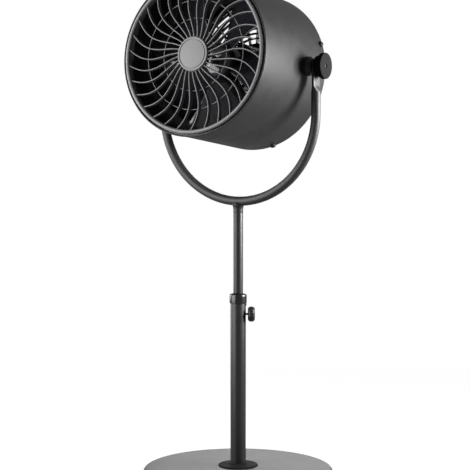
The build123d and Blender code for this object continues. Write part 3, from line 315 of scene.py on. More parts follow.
finishValues = {
    "drumPaint": dict(colour=grey(0.008), roughness=0.5, specular=0.35, depth=30, grain=1400, mottle=0.05),
    "tubePaint": dict(colour=grey(0.010), roughness=0.42, specular=0.38, depth=2, spread=0.02),
    "yokePaint": dict(colour=grey(0.011), roughness=0.54, specular=0.56, depth=2, spread=0.015, mottle=0.05),
    "basePaint": dict(colour=grey(0.045), roughness=0.5, specular=0.3, depth=10, grain=1200, mottle=0.03,
                      spread=0.015),
    "guardPlastic": dict(colour=grey(0.14), roughness=0.42, depth=10),
    # the ribs are the guard's own plastic made darker: painted shade on the thin ribs behind the bead
    "ribPlasticShaded": dict(colour=grey(0.11), roughness=0.45, depth=10),
    "capPlastic": dict(colour=grey(0.19), roughness=0.5, depth=20, grain=2200, specular=0.3),
    "blackPlastic": dict(colour=grey(0.010), roughness=0.42, specular=0.35, depth=30, grain=2000),
    "collarPlastic": dict(colour=grey(0.006), roughness=0.25, depth=10, grain=1200),
    "knobPlastic": dict(colour=grey(0.004), roughness=0.8, specular=0.12, depth=50, grain=1600),
    "dialPlastic": dict(colour=grey(0.02), roughness=0.5, specular=0.3, depth=10),
    "bladePlastic": dict(colour=(0.022, 0.021, 0.026), roughness=0.12, depth=0, spread=0.02, coat=0.5),
    "switchPlastic": dict(colour=(0.5, 0.48, 0.43), roughness=0.5),
    "nylon": dict(colour=(0.75, 0.73, 0.68), roughness=0.45),
    "fibre": dict(colour=(0.016, 0.014, 0.013), roughness=0.8, specular=0.2, grain=600, depth=100),
    "capacitorCase": dict(colour=(0.55, 0.55, 0.53), roughness=0.5),
    "rubber": dict(colour=grey(0.025), roughness=0.75, grain=500, depth=100),
    "castIron": dict(colour=grey(0.06), roughness=0.7, grain=300, depth=400),
    "motorMetal": dict(colour=grey(0.75), roughness=0.22, metal=1.0, depth=50),
    "lamination": dict(colour=grey(0.35), roughness=0.4, metal=1.0),
    "copper": dict(colour=(0.22, 0.10, 0.05), roughness=0.45, metal=1.0),
    "bronze": dict(colour=(0.55, 0.4, 0.2), roughness=0.45, metal=1.0),
    "groundSteel": dict(colour=grey(0.55), roughness=0.25, metal=1.0),
    "zinc": dict(colour=grey(0.5), roughness=0.35, metal=1.0, mottle=0.15),
    "springSteel": dict(colour=grey(0.35), roughness=0.35, metal=1.0),
    "blackScrew": dict(colour=grey(0.012), roughness=0.5, specular=0.2),
    "printInk": dict(colour=grey(0.6), roughness=0.6),
}
finishes = {name: finishOf(name, **values) for name, values in finishValues.items()}

# the record's slots, and the finish that each of them takes on carried CAD nodes
slotFinish = {
    "drum_paint": "drumPaint", "tube_paint": "tubePaint", "base_paint": "basePaint",
    "guard_plastic": "guardPlastic", "cap_plastic": "capPlastic", "black_plastic": "blackPlastic",
    "dial_plastic": "dialPlastic", "blade_plastic": "bladePlastic", "switch_plastic": "switchPlastic",
    "nylon": "nylon", "fibre": "fibre", "capacitor_case": "capacitorCase", "foot_rubber": "rubber",
    "gland_rubber": "rubber", "cast_weight": "castIron", "motor_metal": "motorMetal",
    "lamination_steel": "lamination", "copper_winding": "copper", "bronze_bush": "bronze",
    "shaft_steel": "groundSteel", "zinc_steel": "zinc", "spring_steel": "springSteel",
    "black_screw": "blackScrew",
}
for subpart in frame["record"]["subparts"]:
    node = frame["nodes"][subpart["node"]]
    node.data.materials.clear()
    node.data.materials.append(finishes[slotFinish[subpart["material_slot"]]])
print("finishes made:", len(finishes))


base = {
    "radius": 196.5, "crown": 20.0, "drop": 5.0, "shoulder": 6.0, "wall": 2.0, "innerShoulder": 3.5,
    "rimHeight": 2.0, "boltHole": 5.4, "domeRings": 8,
    "footRadius": 10.0, "footHeight": 4.0, "footRound": 1.0, "footCircle": 170.0, "feet": 6,
}


def domeLevel(radius):
    return base["crown"] - base["drop"] * (radius / base["radius"]) ** 2


def buildBase():
    edge, hole = base["radius"], base["boltHole"]
    inner = edge - base["wall"]
    rings = [hole + (edge - hole) * k / base["domeRings"] for k in range(base["domeRings"])]
    outline = [(radius, domeLevel(radius)) for radius in rings]
    outline += [(edge, domeLevel(edge), base["shoulder"]), (edge, base["rimHeight"], softRound),
                (inner, base["rimHeight"], softRound),
                (inner, domeLevel(inner) - base["wall"], base["innerShoulder"])]
    outline += [(radius, domeLevel(radius) - base["wall"]) for radius in reversed(rings)]
    cover = lathe(outline, steps=160, arcSteps=6)
    finishPiece("baseCover", cover, standPlace, "basePaint", "stand", ["base_shell"])


flange = {
    # radii, then levels over the base's crown
    "bore": 16.1, "foot": 40.5, "radius": 41.5, "shoulder": 39.7, "neck": 24.0,
    "boreLevel": -0.3, "footLevel": -0.5, "rimLevel": 1.2, "shoulderLevel": 3.0, "neckLevel": 3.4,
    "topLevel": 5.5, "shoulderRound": 1.0, "neckRound": 3.0,
}


def buildFootFlange():
    crown = base["crown"]
    trim = lathe([
        (flange["bore"], crown + flange["boreLevel"]),
        (flange["foot"], crown + flange["footLevel"], smallRound),
        (flange["radius"], crown + flange["rimLevel"], fullRound),
        (flange["shoulder"], crown + flange["shoulderLevel"], flange["shoulderRound"]),
        (flange["neck"], crown + flange["neckLevel"], flange["neckRound"]),
        (flange["bore"], crown + flange["topLevel"], smallRound),
    ])
    finishPiece("footFlange", trim, standPlace, "knobPlastic", "stand", ["foot_flange"])


def buildFeet():
    foot = lathe([(0, 0), (base["footRadius"], 0, base["footRound"]),
                  (base["footRadius"], base["footHeight"], smallRound), (0, base["footHeight"])],
                 steps=32, closed=False)
    feet = ringOf(moved(foot, x=base["footCircle"]), base["feet"])
    finishPiece("rubberFeet", feet, standPlace, "rubber", "stand", ["base_feet"])


buildBase()
buildFootFlange()
buildFeet()
print("base made")


pole = {
    "radius": 16.0, "wall": 1.5, "foot": 20.0, "top": 366.0,
    "tubeRadius": 10.0, "tubeWall": 1.5, "tubeFoot": 195.0, "tubeTop": 546.4,
    "collarRadius": 17.8, "collarFoot": 359.1, "collarTop": 380.9, "collarRound": 6.8,
    "collarFootRound": 1.2, "collarClearance": 0.3,
    "screwRadius": 2.4, "screwHeight": 1.2, "shankRadius": 1.5, "shankLength": 5.1, "screwLevel": 356.1,
}


def buildPole():
    outer, inner = pole["radius"], pole["radius"] - pole["wall"]
    body = lathe([(inner, pole["foot"]), (outer, pole["foot"], fineRound), (outer, pole["top"], smallRound),
                  (inner, pole["top"], smallRound)], steps=72)
    finishPiece("lowerPole", body, standPlace, "tubePaint", "stand", ["lower_pole"])
    outer, inner = pole["tubeRadius"], pole["tubeRadius"] - pole["tubeWall"]
    tube = lathe([(inner, pole["tubeFoot"]), (outer, pole["tubeFoot"], fineRound),
                  (outer, pole["tubeTop"], plainRound), (inner, pole["tubeTop"], fineRound)], steps=64)
    finishPiece("slidingTube", tube, standPlace, "tubePaint", "mast", ["inner_tube"])
    bore, seat = outer + pole["collarClearance"], pole["radius"] + fitGap
    collar = lathe([
        (bore, pole["top"] + fitGap), (seat, pole["top"] + fitGap), (seat, pole["collarFoot"], fineRound),
        (pole["collarRadius"], pole["collarFoot"], pole["collarFootRound"]),
        (pole["collarRadius"], pole["collarTop"], pole["collarRound"]), (bore, pole["collarTop"], fineRound),
    ], steps=72, arcSteps=7)
    finishPiece("poleCollar", collar, standPlace, "collarPlastic", "stand", ["pole_collar"])


clampKnob = {
    "radius": 16.0, "start": 20.0, "thickness": 14.7, "round": 6.2, "dishMouth": 9.0, "dishFloor": 8.0,
    "dishDepth": 0.8, "lobes": 12, "lobeFoot": 10.0, "lobeReach": 6.0, "lobeDepth": 0.35,
    "stemRadius": 2.5, "stemStart": 10.3, "stemEnd": 30.0, "threadPitch": 0.8, "threadDepth": 0.35,
}


def buildClampKnob():
    start, end = clampKnob["start"], clampKnob["start"] + clampKnob["thickness"]
    floor = end - clampKnob["dishDepth"]
    grip = lathe([
        (0, start), (clampKnob["radius"], start, clampKnob["round"]),
        (clampKnob["radius"], end, clampKnob["round"]), (clampKnob["dishMouth"], end, fullRound),
        (clampKnob["dishFloor"], floor, fullRound), (0, floor),
    ], arcSteps=6, closed=False)
    for vert in grip.verts:  # shallow lobes for the fingers, deepest at the rim
        radius = math.hypot(vert.co.x, vert.co.y)
        if radius > clampKnob["lobeFoot"]:
            wave = 1 + math.cos(clampKnob["lobes"] * math.atan2(vert.co.y, vert.co.x))
            dip = clampKnob["lobeDepth"] * wave * (radius - clampKnob["lobeFoot"]) / clampKnob["lobeReach"]
            vert.co.x *= 1 - dip / radius
            vert.co.y *= 1 - dip / radius
    finishPiece("clampKnob", grip, clampPlace, "blackPlastic", "clamp", ["clamp_knob"])
    start, end = clampKnob["stemStart"], clampKnob["stemEnd"]
    ridges = threaded(clampKnob["stemRadius"], start, end, clampKnob["threadPitch"], clampKnob["threadDepth"])
    stem = lathe([(0, start)] + ridges + [(0, end)], steps=40, closed=False)
    finishPiece("clampStem", stem, clampPlace, "zinc", "clamp", ["clamp_screw"])


def buildSleeveScrew():
    screw = panScrew(pole["screwRadius"], pole["screwHeight"], pole["shankRadius"], pole["shankLength"])
    spot = (clampAxis * (pole["radius"] + fitGap) + upward * pole["screwLevel"]) / metre
    finishPiece("sleeveScrew", screw, axisFrame(spot, clampAxis, upward), "blackScrew", "stand",
                ["sleeve_screw"])


buildPole()
buildClampKnob()
buildSleeveScrew()
print("pole made")


yoke = {
    "radius": 179.0, "tube": 9.5, "centre": 749.2, "pressStart": 790.4, "plateStart": 806.4,
    "plateWidth": 28.0, "plateThickness": 6.0, "pivotLevel": 843.4, "pressed": 0.35,
    "tipRound": 0.8, "tipWidth": 1.2, "tipGap": 0.05,
    "sectionPoints": 32, "bendSteps": 72, "pressSteps": 8, "tipSteps": 12,
}


def legStations():
    # level, width, thickness and how far the section is from round, up one leg
    across, rise = 2 * yoke["tube"], yoke["plateStart"] - yoke["pressStart"]
    width, thickness, pressed = yoke["plateWidth"], yoke["plateThickness"], yoke["pressed"]
    stations = [(yoke["pressStart"], across, across, 1.0)]
    for k in range(1, yoke["pressSteps"] + 1):
        share = k / yoke["pressSteps"]
        ease = share * share * (3 - 2 * share)
        stations.append((yoke["pressStart"] + share * rise, across + ease * (width - across),
                         across + ease * (thickness - across), 1 + ease * (pressed - 1)))
    stations.append((yoke["pivotLevel"], width, thickness, pressed))
    for k in range(1, yoke["tipSteps"] + 1):
        turn = math.radians(90 * k / yoke["tipSteps"])
        stations.append((yoke["pivotLevel"] + math.sin(turn) * (width / 2 - yoke["tipRound"]),
                         max(width * math.cos(turn), yoke["tipWidth"]), thickness, pressed))
    stations.append((yoke["pivotLevel"] + width / 2 - yoke["tipGap"], yoke["tipWidth"] / 2,
                     thickness - 2 * yoke["tipRound"], pressed))
    return stations


def drawUpLeg(bm, ring, turnLayer, side):
    for level, width, thickness, flatness in legStations():
        ring = vertsIn(bmesh.ops.extrude_edge_only(bm, edges=edgesAmong(bm, ring))["geom"])
        for vert in ring:
            across, along = math.cos(vert[turnLayer]), math.sin(vert[turnLayer])
            vert.co = (side * yoke["radius"] + thickness / 2 * math.copysign(abs(across) ** flatness, across),
                       width / 2 * math.copysign(abs(along) ** flatness, along), level)
    bmesh.ops.contextual_create(bm, geom=edgesAmong(bm, ring))


def buildYoke():
    # the tube's round section, spun through the bend and drawn up to the pivot at both ends
    bm = bmesh.new()
    section = bmesh.ops.create_circle(bm, segments=yoke["sectionPoints"], radius=yoke["tube"])["verts"]
    bmesh.ops.translate(bm, verts=section, vec=(yoke["radius"], 0, yoke["centre"]))
    bmesh.ops.spin(bm, geom=section[:] + bm.edges[:], cent=(0, 0, yoke["centre"]), axis=(0, 1, 0),
                   angle=math.pi, steps=yoke["bendSteps"])
    turnLayer = bm.verts.layers.float.new("turn")
    for side in (1, -1):
        ring = [vert for vert in bm.verts
                if vert.co.x * side > 0 and abs(vert.co.z - yoke["centre"]) < mergeDistance]
        for vert in ring:
            vert[turnLayer] = math.atan2(vert.co.y, vert.co.x - side * yoke["radius"])
        drawUpLeg(bm, ring, turnLayer, side)
    bm.verts.layers.float.remove(turnLayer)
    bmesh.ops.recalc_face_normals(bm, faces=bm.faces)
    finishPiece("yokeTube", bm, standPlace, "yokePaint", "mast", ["yoke"], crease=50)


stub = {
    "radius": 10.25, "foot": pole["tubeTop"], "spigotFoot": 526.4, "spigotRadius": 8.4,
    "flare": 12.5, "flareRise": 3.0, "flareBend": 5.0, "flareEdge": 1.0, "saddleRadius": 8.5,
    "screwRadius": 3.2, "screwHeight": 1.8, "shankRadius": 1.7, "shankLength": 7.6, "screwLevel": 536.4,
}


def buildYokeStub():
    saddle = yoke["centre"] - yoke["radius"]
    under = saddle - yoke["tube"]
    post = lathe([
        (0, stub["spigotFoot"]), (stub["spigotRadius"], stub["spigotFoot"], softRound),
        (stub["spigotRadius"], stub["foot"]), (stub["radius"], stub["foot"], plainRound),
        (stub["radius"], under - stub["flareRise"], stub["flareBend"]),
        (stub["flare"], under + stub["flareRise"], stub["flareEdge"]),
        (stub["saddleRadius"], saddle), (0, saddle),
    ], steps=64, arcSteps=6, closed=False)
    finishPiece("yokeStub", post, standPlace, "tubePaint", "mast", ["yoke_stub"])
    screw = panScrew(stub["screwRadius"], stub["screwHeight"], stub["shankRadius"], stub["shankLength"])
    spot = (backward * pole["tubeRadius"] + upward * stub["screwLevel"]) / metre
    finishPiece("stubScrew", screw, axisFrame(spot, backward, rightward), "blackScrew", "mast",
                ["stub_screw"])


buildYoke()
buildYokeStub()
print("yoke made")


drum = {
    "radius": 161.0, "bore": 159.5, "wall": 1.5, "front": 175.6, "back": -77.3, "flange": 151.0,
    "lipReach": 162.7, "lipDepth": 3.4, "lipOuterRound": 1.6, "lipInnerRound": 1.5, "lipReturn": 0.8,
    "hemWidth": 10.4, "hemStep": 0.4, "hemRun": 0.5, "backRound": 1.4,
    "screwAngles": (110, 20, -70, -160), "screwLevel": -66.0, "screwFoot": 161.1, "screwRadius": 6.0,
    "screwHeight": 5.0, "shankRadius": 2.0, "shankLength": 5.8,
}


def buildDrum():
    front, back, radius = drum["front"], drum["back"], drum["radius"]
    fold, hem, step = front - drum["lipDepth"], front - drum["hemWidth"], radius + drum["hemStep"]
    shell = lathe([
        (drum["bore"], front, drum["lipInnerRound"]), (drum["lipReach"], front, drum["lipOuterRound"]),
        (drum["lipReach"], fold, drum["lipInnerRound"]), (step, fold - drum["lipReturn"], softRound),
        (step, hem, fineRound), (radius, hem - drum["hemRun"], fineRound),
        (radius, back, drum["backRound"]), (drum["flange"], back, plainRound),
        (drum["flange"], back + drum["wall"], plainRound), (drum["bore"], back + drum["wall"], plainRound),
    ], steps=192)
    finishPiece("drumShell", shell, headPlace, "drumPaint", "head", ["drum_shell"])


def buildRearScrews():
    screws = []
    for angle in drum["screwAngles"]:
        turn = math.radians(angle)
        outward = rightward * math.cos(turn) + headUp * math.sin(turn)
        spot = pivot + (forward * drum["screwLevel"] + outward * drum["screwFoot"]) / metre
        screw = panScrew(drum["screwRadius"], drum["screwHeight"], drum["shankRadius"], drum["shankLength"])
        screws.append(placed(screw, axisFrame(spot, outward, forward)))
    finishPiece("rearScrews", joined(*screws), Matrix(), "blackScrew", "head",
                ["rear_screws"])


buildDrum()
buildRearScrews()
print("drum made")


guard = {
    "beadCentre": 153.0, "beadRadius": 3.9, "beadRound": 3.85, "beadFront": 180.0, "rim": 159.2,
    "ledge": 168.0, "sleeveBack": 152.0, "sleeveWall": 2.5,
    "ribBack": 167.1, "ribFront": 176.1, "ribWidth": 2.2, "ribCount": 30, "ribBow": 10.3,
    "ribClocking": -0.8, "ribSteps": 20,
    "hubRadius": 34.5, "hubFront": 175.1, "ringRadii": (71.7, 108.5), "ringWidth": 1.4, "ringDepth": 2.2,
    "capRadius": 33.7, "capBack": 175.2, "capFront": 179.3, "capRound": 1.2,
    "grooveOuter": 30.0, "grooveWidth": 2.0, "grooveDepth": 1.4,
}


def oneRib():
    # a flat strip bent to the rib's bow, then thickened and softened in front
    start = guard["capRadius"] + fitGap
    span = guard["beadCentre"] - start
    bow = math.radians(guard["ribBow"])
    bm = bmesh.new()
    bmesh.ops.create_grid(bm, x_segments=guard["ribSteps"], y_segments=1, size=0.5)
    for vert in bm.verts:
        share = vert.co.x + 0.5
        across = vert.co.y / 0.5
        radius = start + span * share
        slope = radius * bow * math.pi / span * math.cos(math.pi * share)
        half = guard["ribWidth"] / 2 / radius * math.hypot(1, slope)
        angle = math.radians(90 - guard["ribClocking"]) + bow * math.sin(math.pi * share) + across * half
        vert.co = (radius * math.cos(angle), radius * math.sin(angle), guard["ribFront"])
    back = bmesh.ops.extrude_face_region(bm, geom=bm.faces[:])["geom"]
    bmesh.ops.translate(bm, vec=(0, 0, guard["ribBack"] - guard["ribFront"]), verts=vertsIn(back))
    frontEdges = [edge for edge in bm.edges if edge.calc_face_angle(0) > 1
                  and all(vert.co.z > guard["ribFront"] - mergeDistance for vert in edge.verts)]
    rounded(bm, frontEdges, fullRound, 2)
    bmesh.ops.recalc_face_normals(bm, faces=bm.faces)
    return bm


def buildGuardRing():
    inner, outer = guard["beadCentre"] - guard["beadRadius"], guard["beadCentre"] + guard["beadRadius"]
    rim, sleeve = guard["rim"], guard["rim"] - guard["sleeveWall"]
    bead = lathe([
        (inner, guard["ribBack"], smallRound), (inner, guard["beadFront"], guard["beadRound"]),
        (outer, guard["beadFront"], guard["beadRound"]), (outer, guard["ledge"], softRound),
        (rim, guard["ledge"], plainRound), (rim, guard["sleeveBack"], smallRound),
        (sleeve, guard["sleeveBack"], smallRound), (sleeve, guard["ribBack"], softRound),
    ], steps=192, arcSteps=8)
    finishPiece("guardRing", bead, headPlace, "guardPlastic", "head", ["front_guard"])


def buildGuardRibs():
    back, half = guard["ribBack"], guard["ringWidth"] / 2
    parts = [ringOf(oneRib(), guard["ribCount"])]
    for radius in guard["ringRadii"]:
        top = back + guard["ringDepth"]
        parts.append(lathe([(radius - half, back, fineRound), (radius - half, top, softRound),
                            (radius + half, top, softRound), (radius + half, back, fineRound)],
                           steps=120, arcSteps=2))
    parts.append(lathe([(0, back), (guard["hubRadius"], back, softRound),
                        (guard["hubRadius"], guard["hubFront"], softRound), (0, guard["hubFront"])],
                       closed=False))
    # the ribs and their hub take a darker copy of the guard's plastic, as painted shade
    finishPiece("guardRibs", joined(*parts), headPlace, "ribPlasticShaded", "head")


def buildHubCap():
    outer, inner = guard["grooveOuter"], guard["grooveOuter"] - guard["grooveWidth"]
    top, floor = guard["capFront"], guard["capFront"] - guard["grooveDepth"]
    cap = lathe([
        (0, guard["capBack"]), (guard["capRadius"], guard["capBack"], fineRound),
        (guard["capRadius"], top, guard["capRound"]), (outer, top, fineRound), (outer, floor, hairRound),
        (inner, floor, hairRound), (inner, top, fineRound), (0, top),
    ], closed=False)
    finishPiece("hubCap", cap, headPlace, "capPlastic", "head", ["hub_cap"])


buildGuardRing()
buildGuardRibs()
buildHubCap()
print("front guard made")


rear = {
    "rim": guard["rim"], "rimWall": 4.0, "rimDepth": 14.0, "back": -75.7, "depth": 8.0, "plateDepth": 5.0,
    "plate": 62.0, "ribs": 24, "ribWidth": 3.0, "ribSink": 1.0, "ribReach": 2.0, "rings": 8,
    "ringWidth": 3.0,
}


def buildRearGuard():
    back, deep, plate = rear["back"], rear["back"] + rear["depth"], rear["plate"]
    rim, inner, lip = rear["rim"], rear["rim"] - rear["rimWall"], back + rear["rimDepth"]
    parts = [lathe([(inner, back, softRound), (inner, lip, softRound), (rim, lip, softRound),
                    (rim, back, softRound)], steps=160)]
    step = (inner - plate) / (rear["rings"] + 1)
    half = rear["ringWidth"] / 2
    for k in range(rear["rings"]):
        radius = plate + step * (k + 1)
        parts.append(lathe([(radius - half, back, fullRound), (radius - half, deep, fineRound),
                            (radius + half, deep, fineRound), (radius + half, back, fullRound)],
                           steps=120, arcSteps=2))
    reach = inner - plate + rear["ribSink"] + rear["ribReach"]
    rib = block(reach, rear["ribWidth"], rear["depth"], plainRound)
    parts.append(ringOf(moved(rib, x=plate - rear["ribSink"] + reach / 2, z=back), rear["ribs"]))
    face = back + rear["plateDepth"]
    parts.append(lathe([(0, back), (plate, back, fullRound), (plate, face, fullRound), (0, face)],
                       closed=False))
    finishPiece("rearGuard", joined(*parts), headPlace, "blackPlastic", "head",
                ["rear_guard"])


buildRearGuard()
print("rear guard made")


fan = {
    "hubRadius": 38.0, "wall": 3.0, "hubBack": 51.4, "skirtTop": 85.4, "hubFront": 97.4, "innerTop": 79.4,
    "crownRadius": 26.0, "crownLevel": 94.4, "crownRound": 8.0, "innerRound": 4.0,
    "bore": 4.1, "bossRadius": 10.0, "bossTop": 89.4, "bossRound": 2.0,
    "noseRadius": 9.0, "noseLength": 12.0, "noseRound": 5.4, "noseCrown": 3.9,
    "blades": 5, "root": 36.5, "tip": 150.0, "middle": 66.4,
    "rootChord": 50.0, "tipChord": 160.0, "rootPitch": -40.0, "tipPitch": -21.0,
    "camber": 0.05, "sweep": -8.0, "clocking": -6.0, "thickness": 2.4, "edgeRound": 1.08,
    "across": 18, "along": 14,
}


def between(start, end, share):
    return start + (end - start) * share


def oneBlade():
    # a grid drawn out from the hub, curved across its chord, swept and twisted, then thickened
    bm = bmesh.new()
    bmesh.ops.create_grid(bm, x_segments=fan["along"], y_segments=fan["across"], size=0.5)
    for vert in bm.verts:
        share = vert.co.x + 0.5
        place = vert.co.y
        radius = between(fan["root"], fan["tip"], share)
        chord = between(fan["rootChord"], fan["tipChord"], share)
        pitch = math.radians(between(fan["rootPitch"], fan["tipPitch"], share))
        bulge = chord * fan["camber"] * (1 - (2 * place) ** 2)
        around = chord * place * math.cos(pitch) - bulge * math.sin(pitch)
        level = chord * place * math.sin(pitch) + bulge * math.cos(pitch)
        angle = around / radius + math.radians(fan["sweep"]) * share ** 2
        vert.co = (radius * math.cos(angle), radius * math.sin(angle), fan["middle"] + level)
    bmesh.ops.recalc_face_normals(bm, faces=bm.faces)
    bmesh.ops.solidify(bm, geom=bm.faces[:], thickness=fan["thickness"])
    bmesh.ops.recalc_face_normals(bm, faces=bm.faces)
    rounded(bm, [edge for edge in bm.edges if edge.calc_face_angle(0) > 1], fan["edgeRound"], 3)
    return bm


def buildFan():
    blades = moved(ringOf(oneBlade(), fan["blades"]), turn=fan["clocking"])
    inner, back, front = fan["hubRadius"] - fan["wall"], fan["hubBack"], fan["hubFront"]
    hub = lathe([
        (fan["bore"], back), (fan["bossRadius"], back, plainRound),
        (fan["bossRadius"], fan["bossTop"], fan["bossRound"]), (inner, fan["innerTop"], fan["innerRound"]),
        (inner, back, plainRound), (fan["hubRadius"], back, fullRound),
        (fan["hubRadius"], fan["skirtTop"], fan["crownRound"]),
        (fan["crownRadius"], fan["crownLevel"], fan["crownRound"]),
        (fan["bossRadius"], front, fan["bossRound"]), (fan["bore"], front),
    ], arcSteps=6)
    finishPiece("fanRotor", joined(blades, hub), headPlace, "bladePlastic", "rotor",
                ["fan_blade"])
    foot, tip = front + fitGap, front + fitGap + fan["noseLength"]
    ceiling = tip - fan["noseCrown"]
    nut = lathe([(fan["bore"], foot), (fan["noseRadius"], foot, smallRound),
                 (fan["noseRadius"], tip, fan["noseRound"]), (0, tip), (0, ceiling), (fan["bore"], ceiling)],
                steps=48, arcSteps=8)
    finishPiece("spinnerNut", nut, headPlace, "bladePlastic", "rotor", ["spinner_nut"])


buildFan()
print("fan made")


knob = {
    "foot": 182.3, "skirtRadius": 20.4, "skirtLength": 7.5, "flare": 3.0, "radius": 26.0, "depth": 19.7,
    "faceRound": 1.5, "bore": 4.1, "eyeRadius": 3.4, "eyeDepth": 3.0, "eyeMouth": 4.9, "eyeLedge": 1.2,
    "notches": 40, "notchDepth": 1.0, "notchBand": 0.9,
}


def buildTiltKnobs():
    foot, face = knob["foot"], knob["foot"] + knob["depth"]
    shoulder, floor = foot + knob["skirtLength"], face - knob["eyeDepth"]
    for side, place in sidePlaces.items():
        grip = lathe([
            (knob["bore"], foot), (knob["skirtRadius"], foot, plainRound),
            (knob["skirtRadius"], shoulder, softRound), (knob["radius"], shoulder + knob["flare"], fullRound),
            (knob["radius"], face, knob["faceRound"]), (knob["eyeMouth"], face, smallRound),
            (knob["eyeRadius"], face - knob["eyeLedge"], smallRound), (knob["eyeRadius"], floor),
            (knob["bore"], floor),
        ], steps=240)
        notched(grip, knob["radius"] - knob["notchBand"], knob["notches"], knob["notchDepth"])
        node = f"tilt_knob_{side}"
        finishPiece(f"tiltKnob.{side}", grip, place, "knobPlastic", node, [node])


buildTiltKnobs()
print("tilt knobs made")


mount = {
    "bore": 4.3, "seat": 159.2, "baseRadius": 19.5, "baseTop": 166.0, "baseRound": 1.4,
    "neckRadius": 15.0, "neckStart": 171.0, "neckRound": 1.6, "top": 174.3,
    "grooveLevel": 163.6, "grooveDepth": 0.7, "grooveMouth": 0.8, "grooveFloor": 0.4,
    "washerRadius": 13.0, "washerFoot": 174.45, "washerTop": 175.85,
    "studRadius": 4.0, "studStart": 154.0, "studEnd": 199.0, "threadEnd": 181.0, "plainStart": 181.4,
    "threadPitch": 1.25, "threadDepth": 0.6, "socket": 2.1, "socketDepth": 4.0,
}


def bossShape():
    outer, floor = mount["baseRadius"], mount["baseRadius"] - mount["grooveDepth"]
    level, mouth, narrow = mount["grooveLevel"], mount["grooveMouth"], mount["grooveFloor"]
    return lathe([
        (mount["bore"], mount["seat"]), (outer, mount["seat"]), (outer, level - mouth, hairRound),
        (floor, level - narrow, hairRound), (floor, level + narrow, hairRound),
        (outer, level + mouth, hairRound), (outer, mount["baseTop"], mount["baseRound"]),
        (mount["neckRadius"], mount["neckStart"], mount["neckRound"]),
        (mount["neckRadius"], mount["top"], plainRound), (mount["bore"], mount["top"], fineRound),
    ])


def washerShape():
    bore, radius = mount["bore"], mount["washerRadius"]
    foot, top = mount["washerFoot"], mount["washerTop"]
    return lathe([(bore, foot, hairRound), (radius, foot, fineRound), (radius, top, fineRound),
                  (bore, top, hairRound)], steps=72)


def studShape():
    radius, start, end = mount["studRadius"], mount["studStart"], mount["studEnd"]
    floor = end - mount["socketDepth"]
    ridges = threaded(radius, start, mount["threadEnd"], mount["threadPitch"], mount["threadDepth"])
    return lathe([(0, start)] + ridges
                 + [(radius, mount["plainStart"]), (radius, end, softRound),
                    (mount["socket"], end, hairRound), (mount["socket"], floor), (0, floor)],
                 steps=36, closed=False)


def buildMounts():
    for side, place in sidePlaces.items():
        finishPiece(f"pivotBoss.{side}", bossShape(), place, "blackPlastic", "head",
                    [f"pivot_boss_{side}"])
        finishPiece(f"tiltWasher.{side}", washerShape(), place, "fibre", "head",
                    [f"tilt_washer_{side}"])
        finishPiece(f"tiltStud.{side}", studShape(), place, "zinc", f"tilt_knob_{side}",
                    [f"tilt_stud_{side}"])


buildMounts()
print("tilt mounts made")


motor = {
    "radius": 50.0, "wall": 2.0, "back": -70.6, "split": -24.6, "splitGap": 0.05, "front": 21.4,
    "shoulder": 7.0, "innerShoulder": 5.0, "seam": 0.5, "bushRadius": 8.1,
    "noseRadius": 14.0, "noseFoot": 16.5, "noseFootRound": 1.5, "noseRound": 1.0, "noseFront": 29.4,
    "slots": 16, "slotLength": 24.0, "slotWidth": 3.6, "slotRound": 1.08, "slotReach": 12.0,
    "faceSlotStart": 22.0, "faceSlotLength": 18.0, "faceSlotDepth": 16.0,
}


def sideSlots(closedEnd, split):
    # cutters for the cooling slots round one half of the casing
    slot = block(motor["slotReach"], motor["slotWidth"], motor["slotLength"], motor["slotRound"])
    moved(slot, x=motor["radius"], z=(closedEnd + split) / 2 - motor["slotLength"] / 2)
    return ringOf(slot, motor["slots"])


def faceSlots():
    slot = block(motor["faceSlotLength"], motor["slotWidth"], motor["faceSlotDepth"], motor["slotRound"])
    moved(slot, x=motor["faceSlotStart"] + motor["faceSlotLength"] / 2,
          z=motor["front"] - motor["faceSlotDepth"] / 2)
    return ringOf(slot, motor["slots"])


def buildMotorFront():
    radius, inner, bush = motor["radius"], motor["radius"] - motor["wall"], motor["bushRadius"]
    front, split = motor["front"], motor["split"] + motor["splitGap"]
    cup = lathe([
        (radius, split, motor["seam"]), (radius, front, motor["shoulder"]),
        (motor["noseFoot"], front, motor["noseFootRound"]),
        (motor["noseRadius"], motor["noseFront"], motor["noseRound"]),
        (bush, motor["noseFront"], smallRound), (bush, front - motor["wall"]),
        (inner, front - motor["wall"], motor["innerShoulder"]), (inner, split),
    ], arcSteps=5)
    cup = carved(carved(cup, sideSlots(front, split)), faceSlots())
    finishPiece("motorFront", cup, headPlace, "motorMetal", "head", ["motor_housing_front"])


def buildMotorRear():
    radius, inner, bush = motor["radius"], motor["radius"] - motor["wall"], motor["bushRadius"]
    back, split = motor["back"], motor["split"] - motor["splitGap"]
    cup = lathe([
        (radius, split, motor["seam"]), (radius, back, motor["shoulder"]), (bush, back, smallRound),
        (bush, back + motor["wall"]), (inner, back + motor["wall"], motor["innerShoulder"]),
        (inner, split),
    ], arcSteps=5)
    cup = carved(cup, sideSlots(back, motor["split"]))
    finishPiece("motorRear", cup, headPlace, "motorMetal", "head", ["motor_housing_rear"])


buildMotorFront()
buildMotorRear()
print("motor casing made")


box = {
    "radius": 54.0, "front": 75.9, "back": 103.8, "wall": 2.0, "round": 3.5, "innerRound": 1.5,
    "spindle": 3.3, "ringRadius": 24.0, "ringWidth": 1.2, "ringRise": 0.5,
    "mouthLength": 20.0, "mouthReach": 12.0,
    "screwCircle": 46.0, "screwRadius": 3.2, "screwHeight": 2.0, "shankRadius": 1.5, "shankLength": 32.0,
}


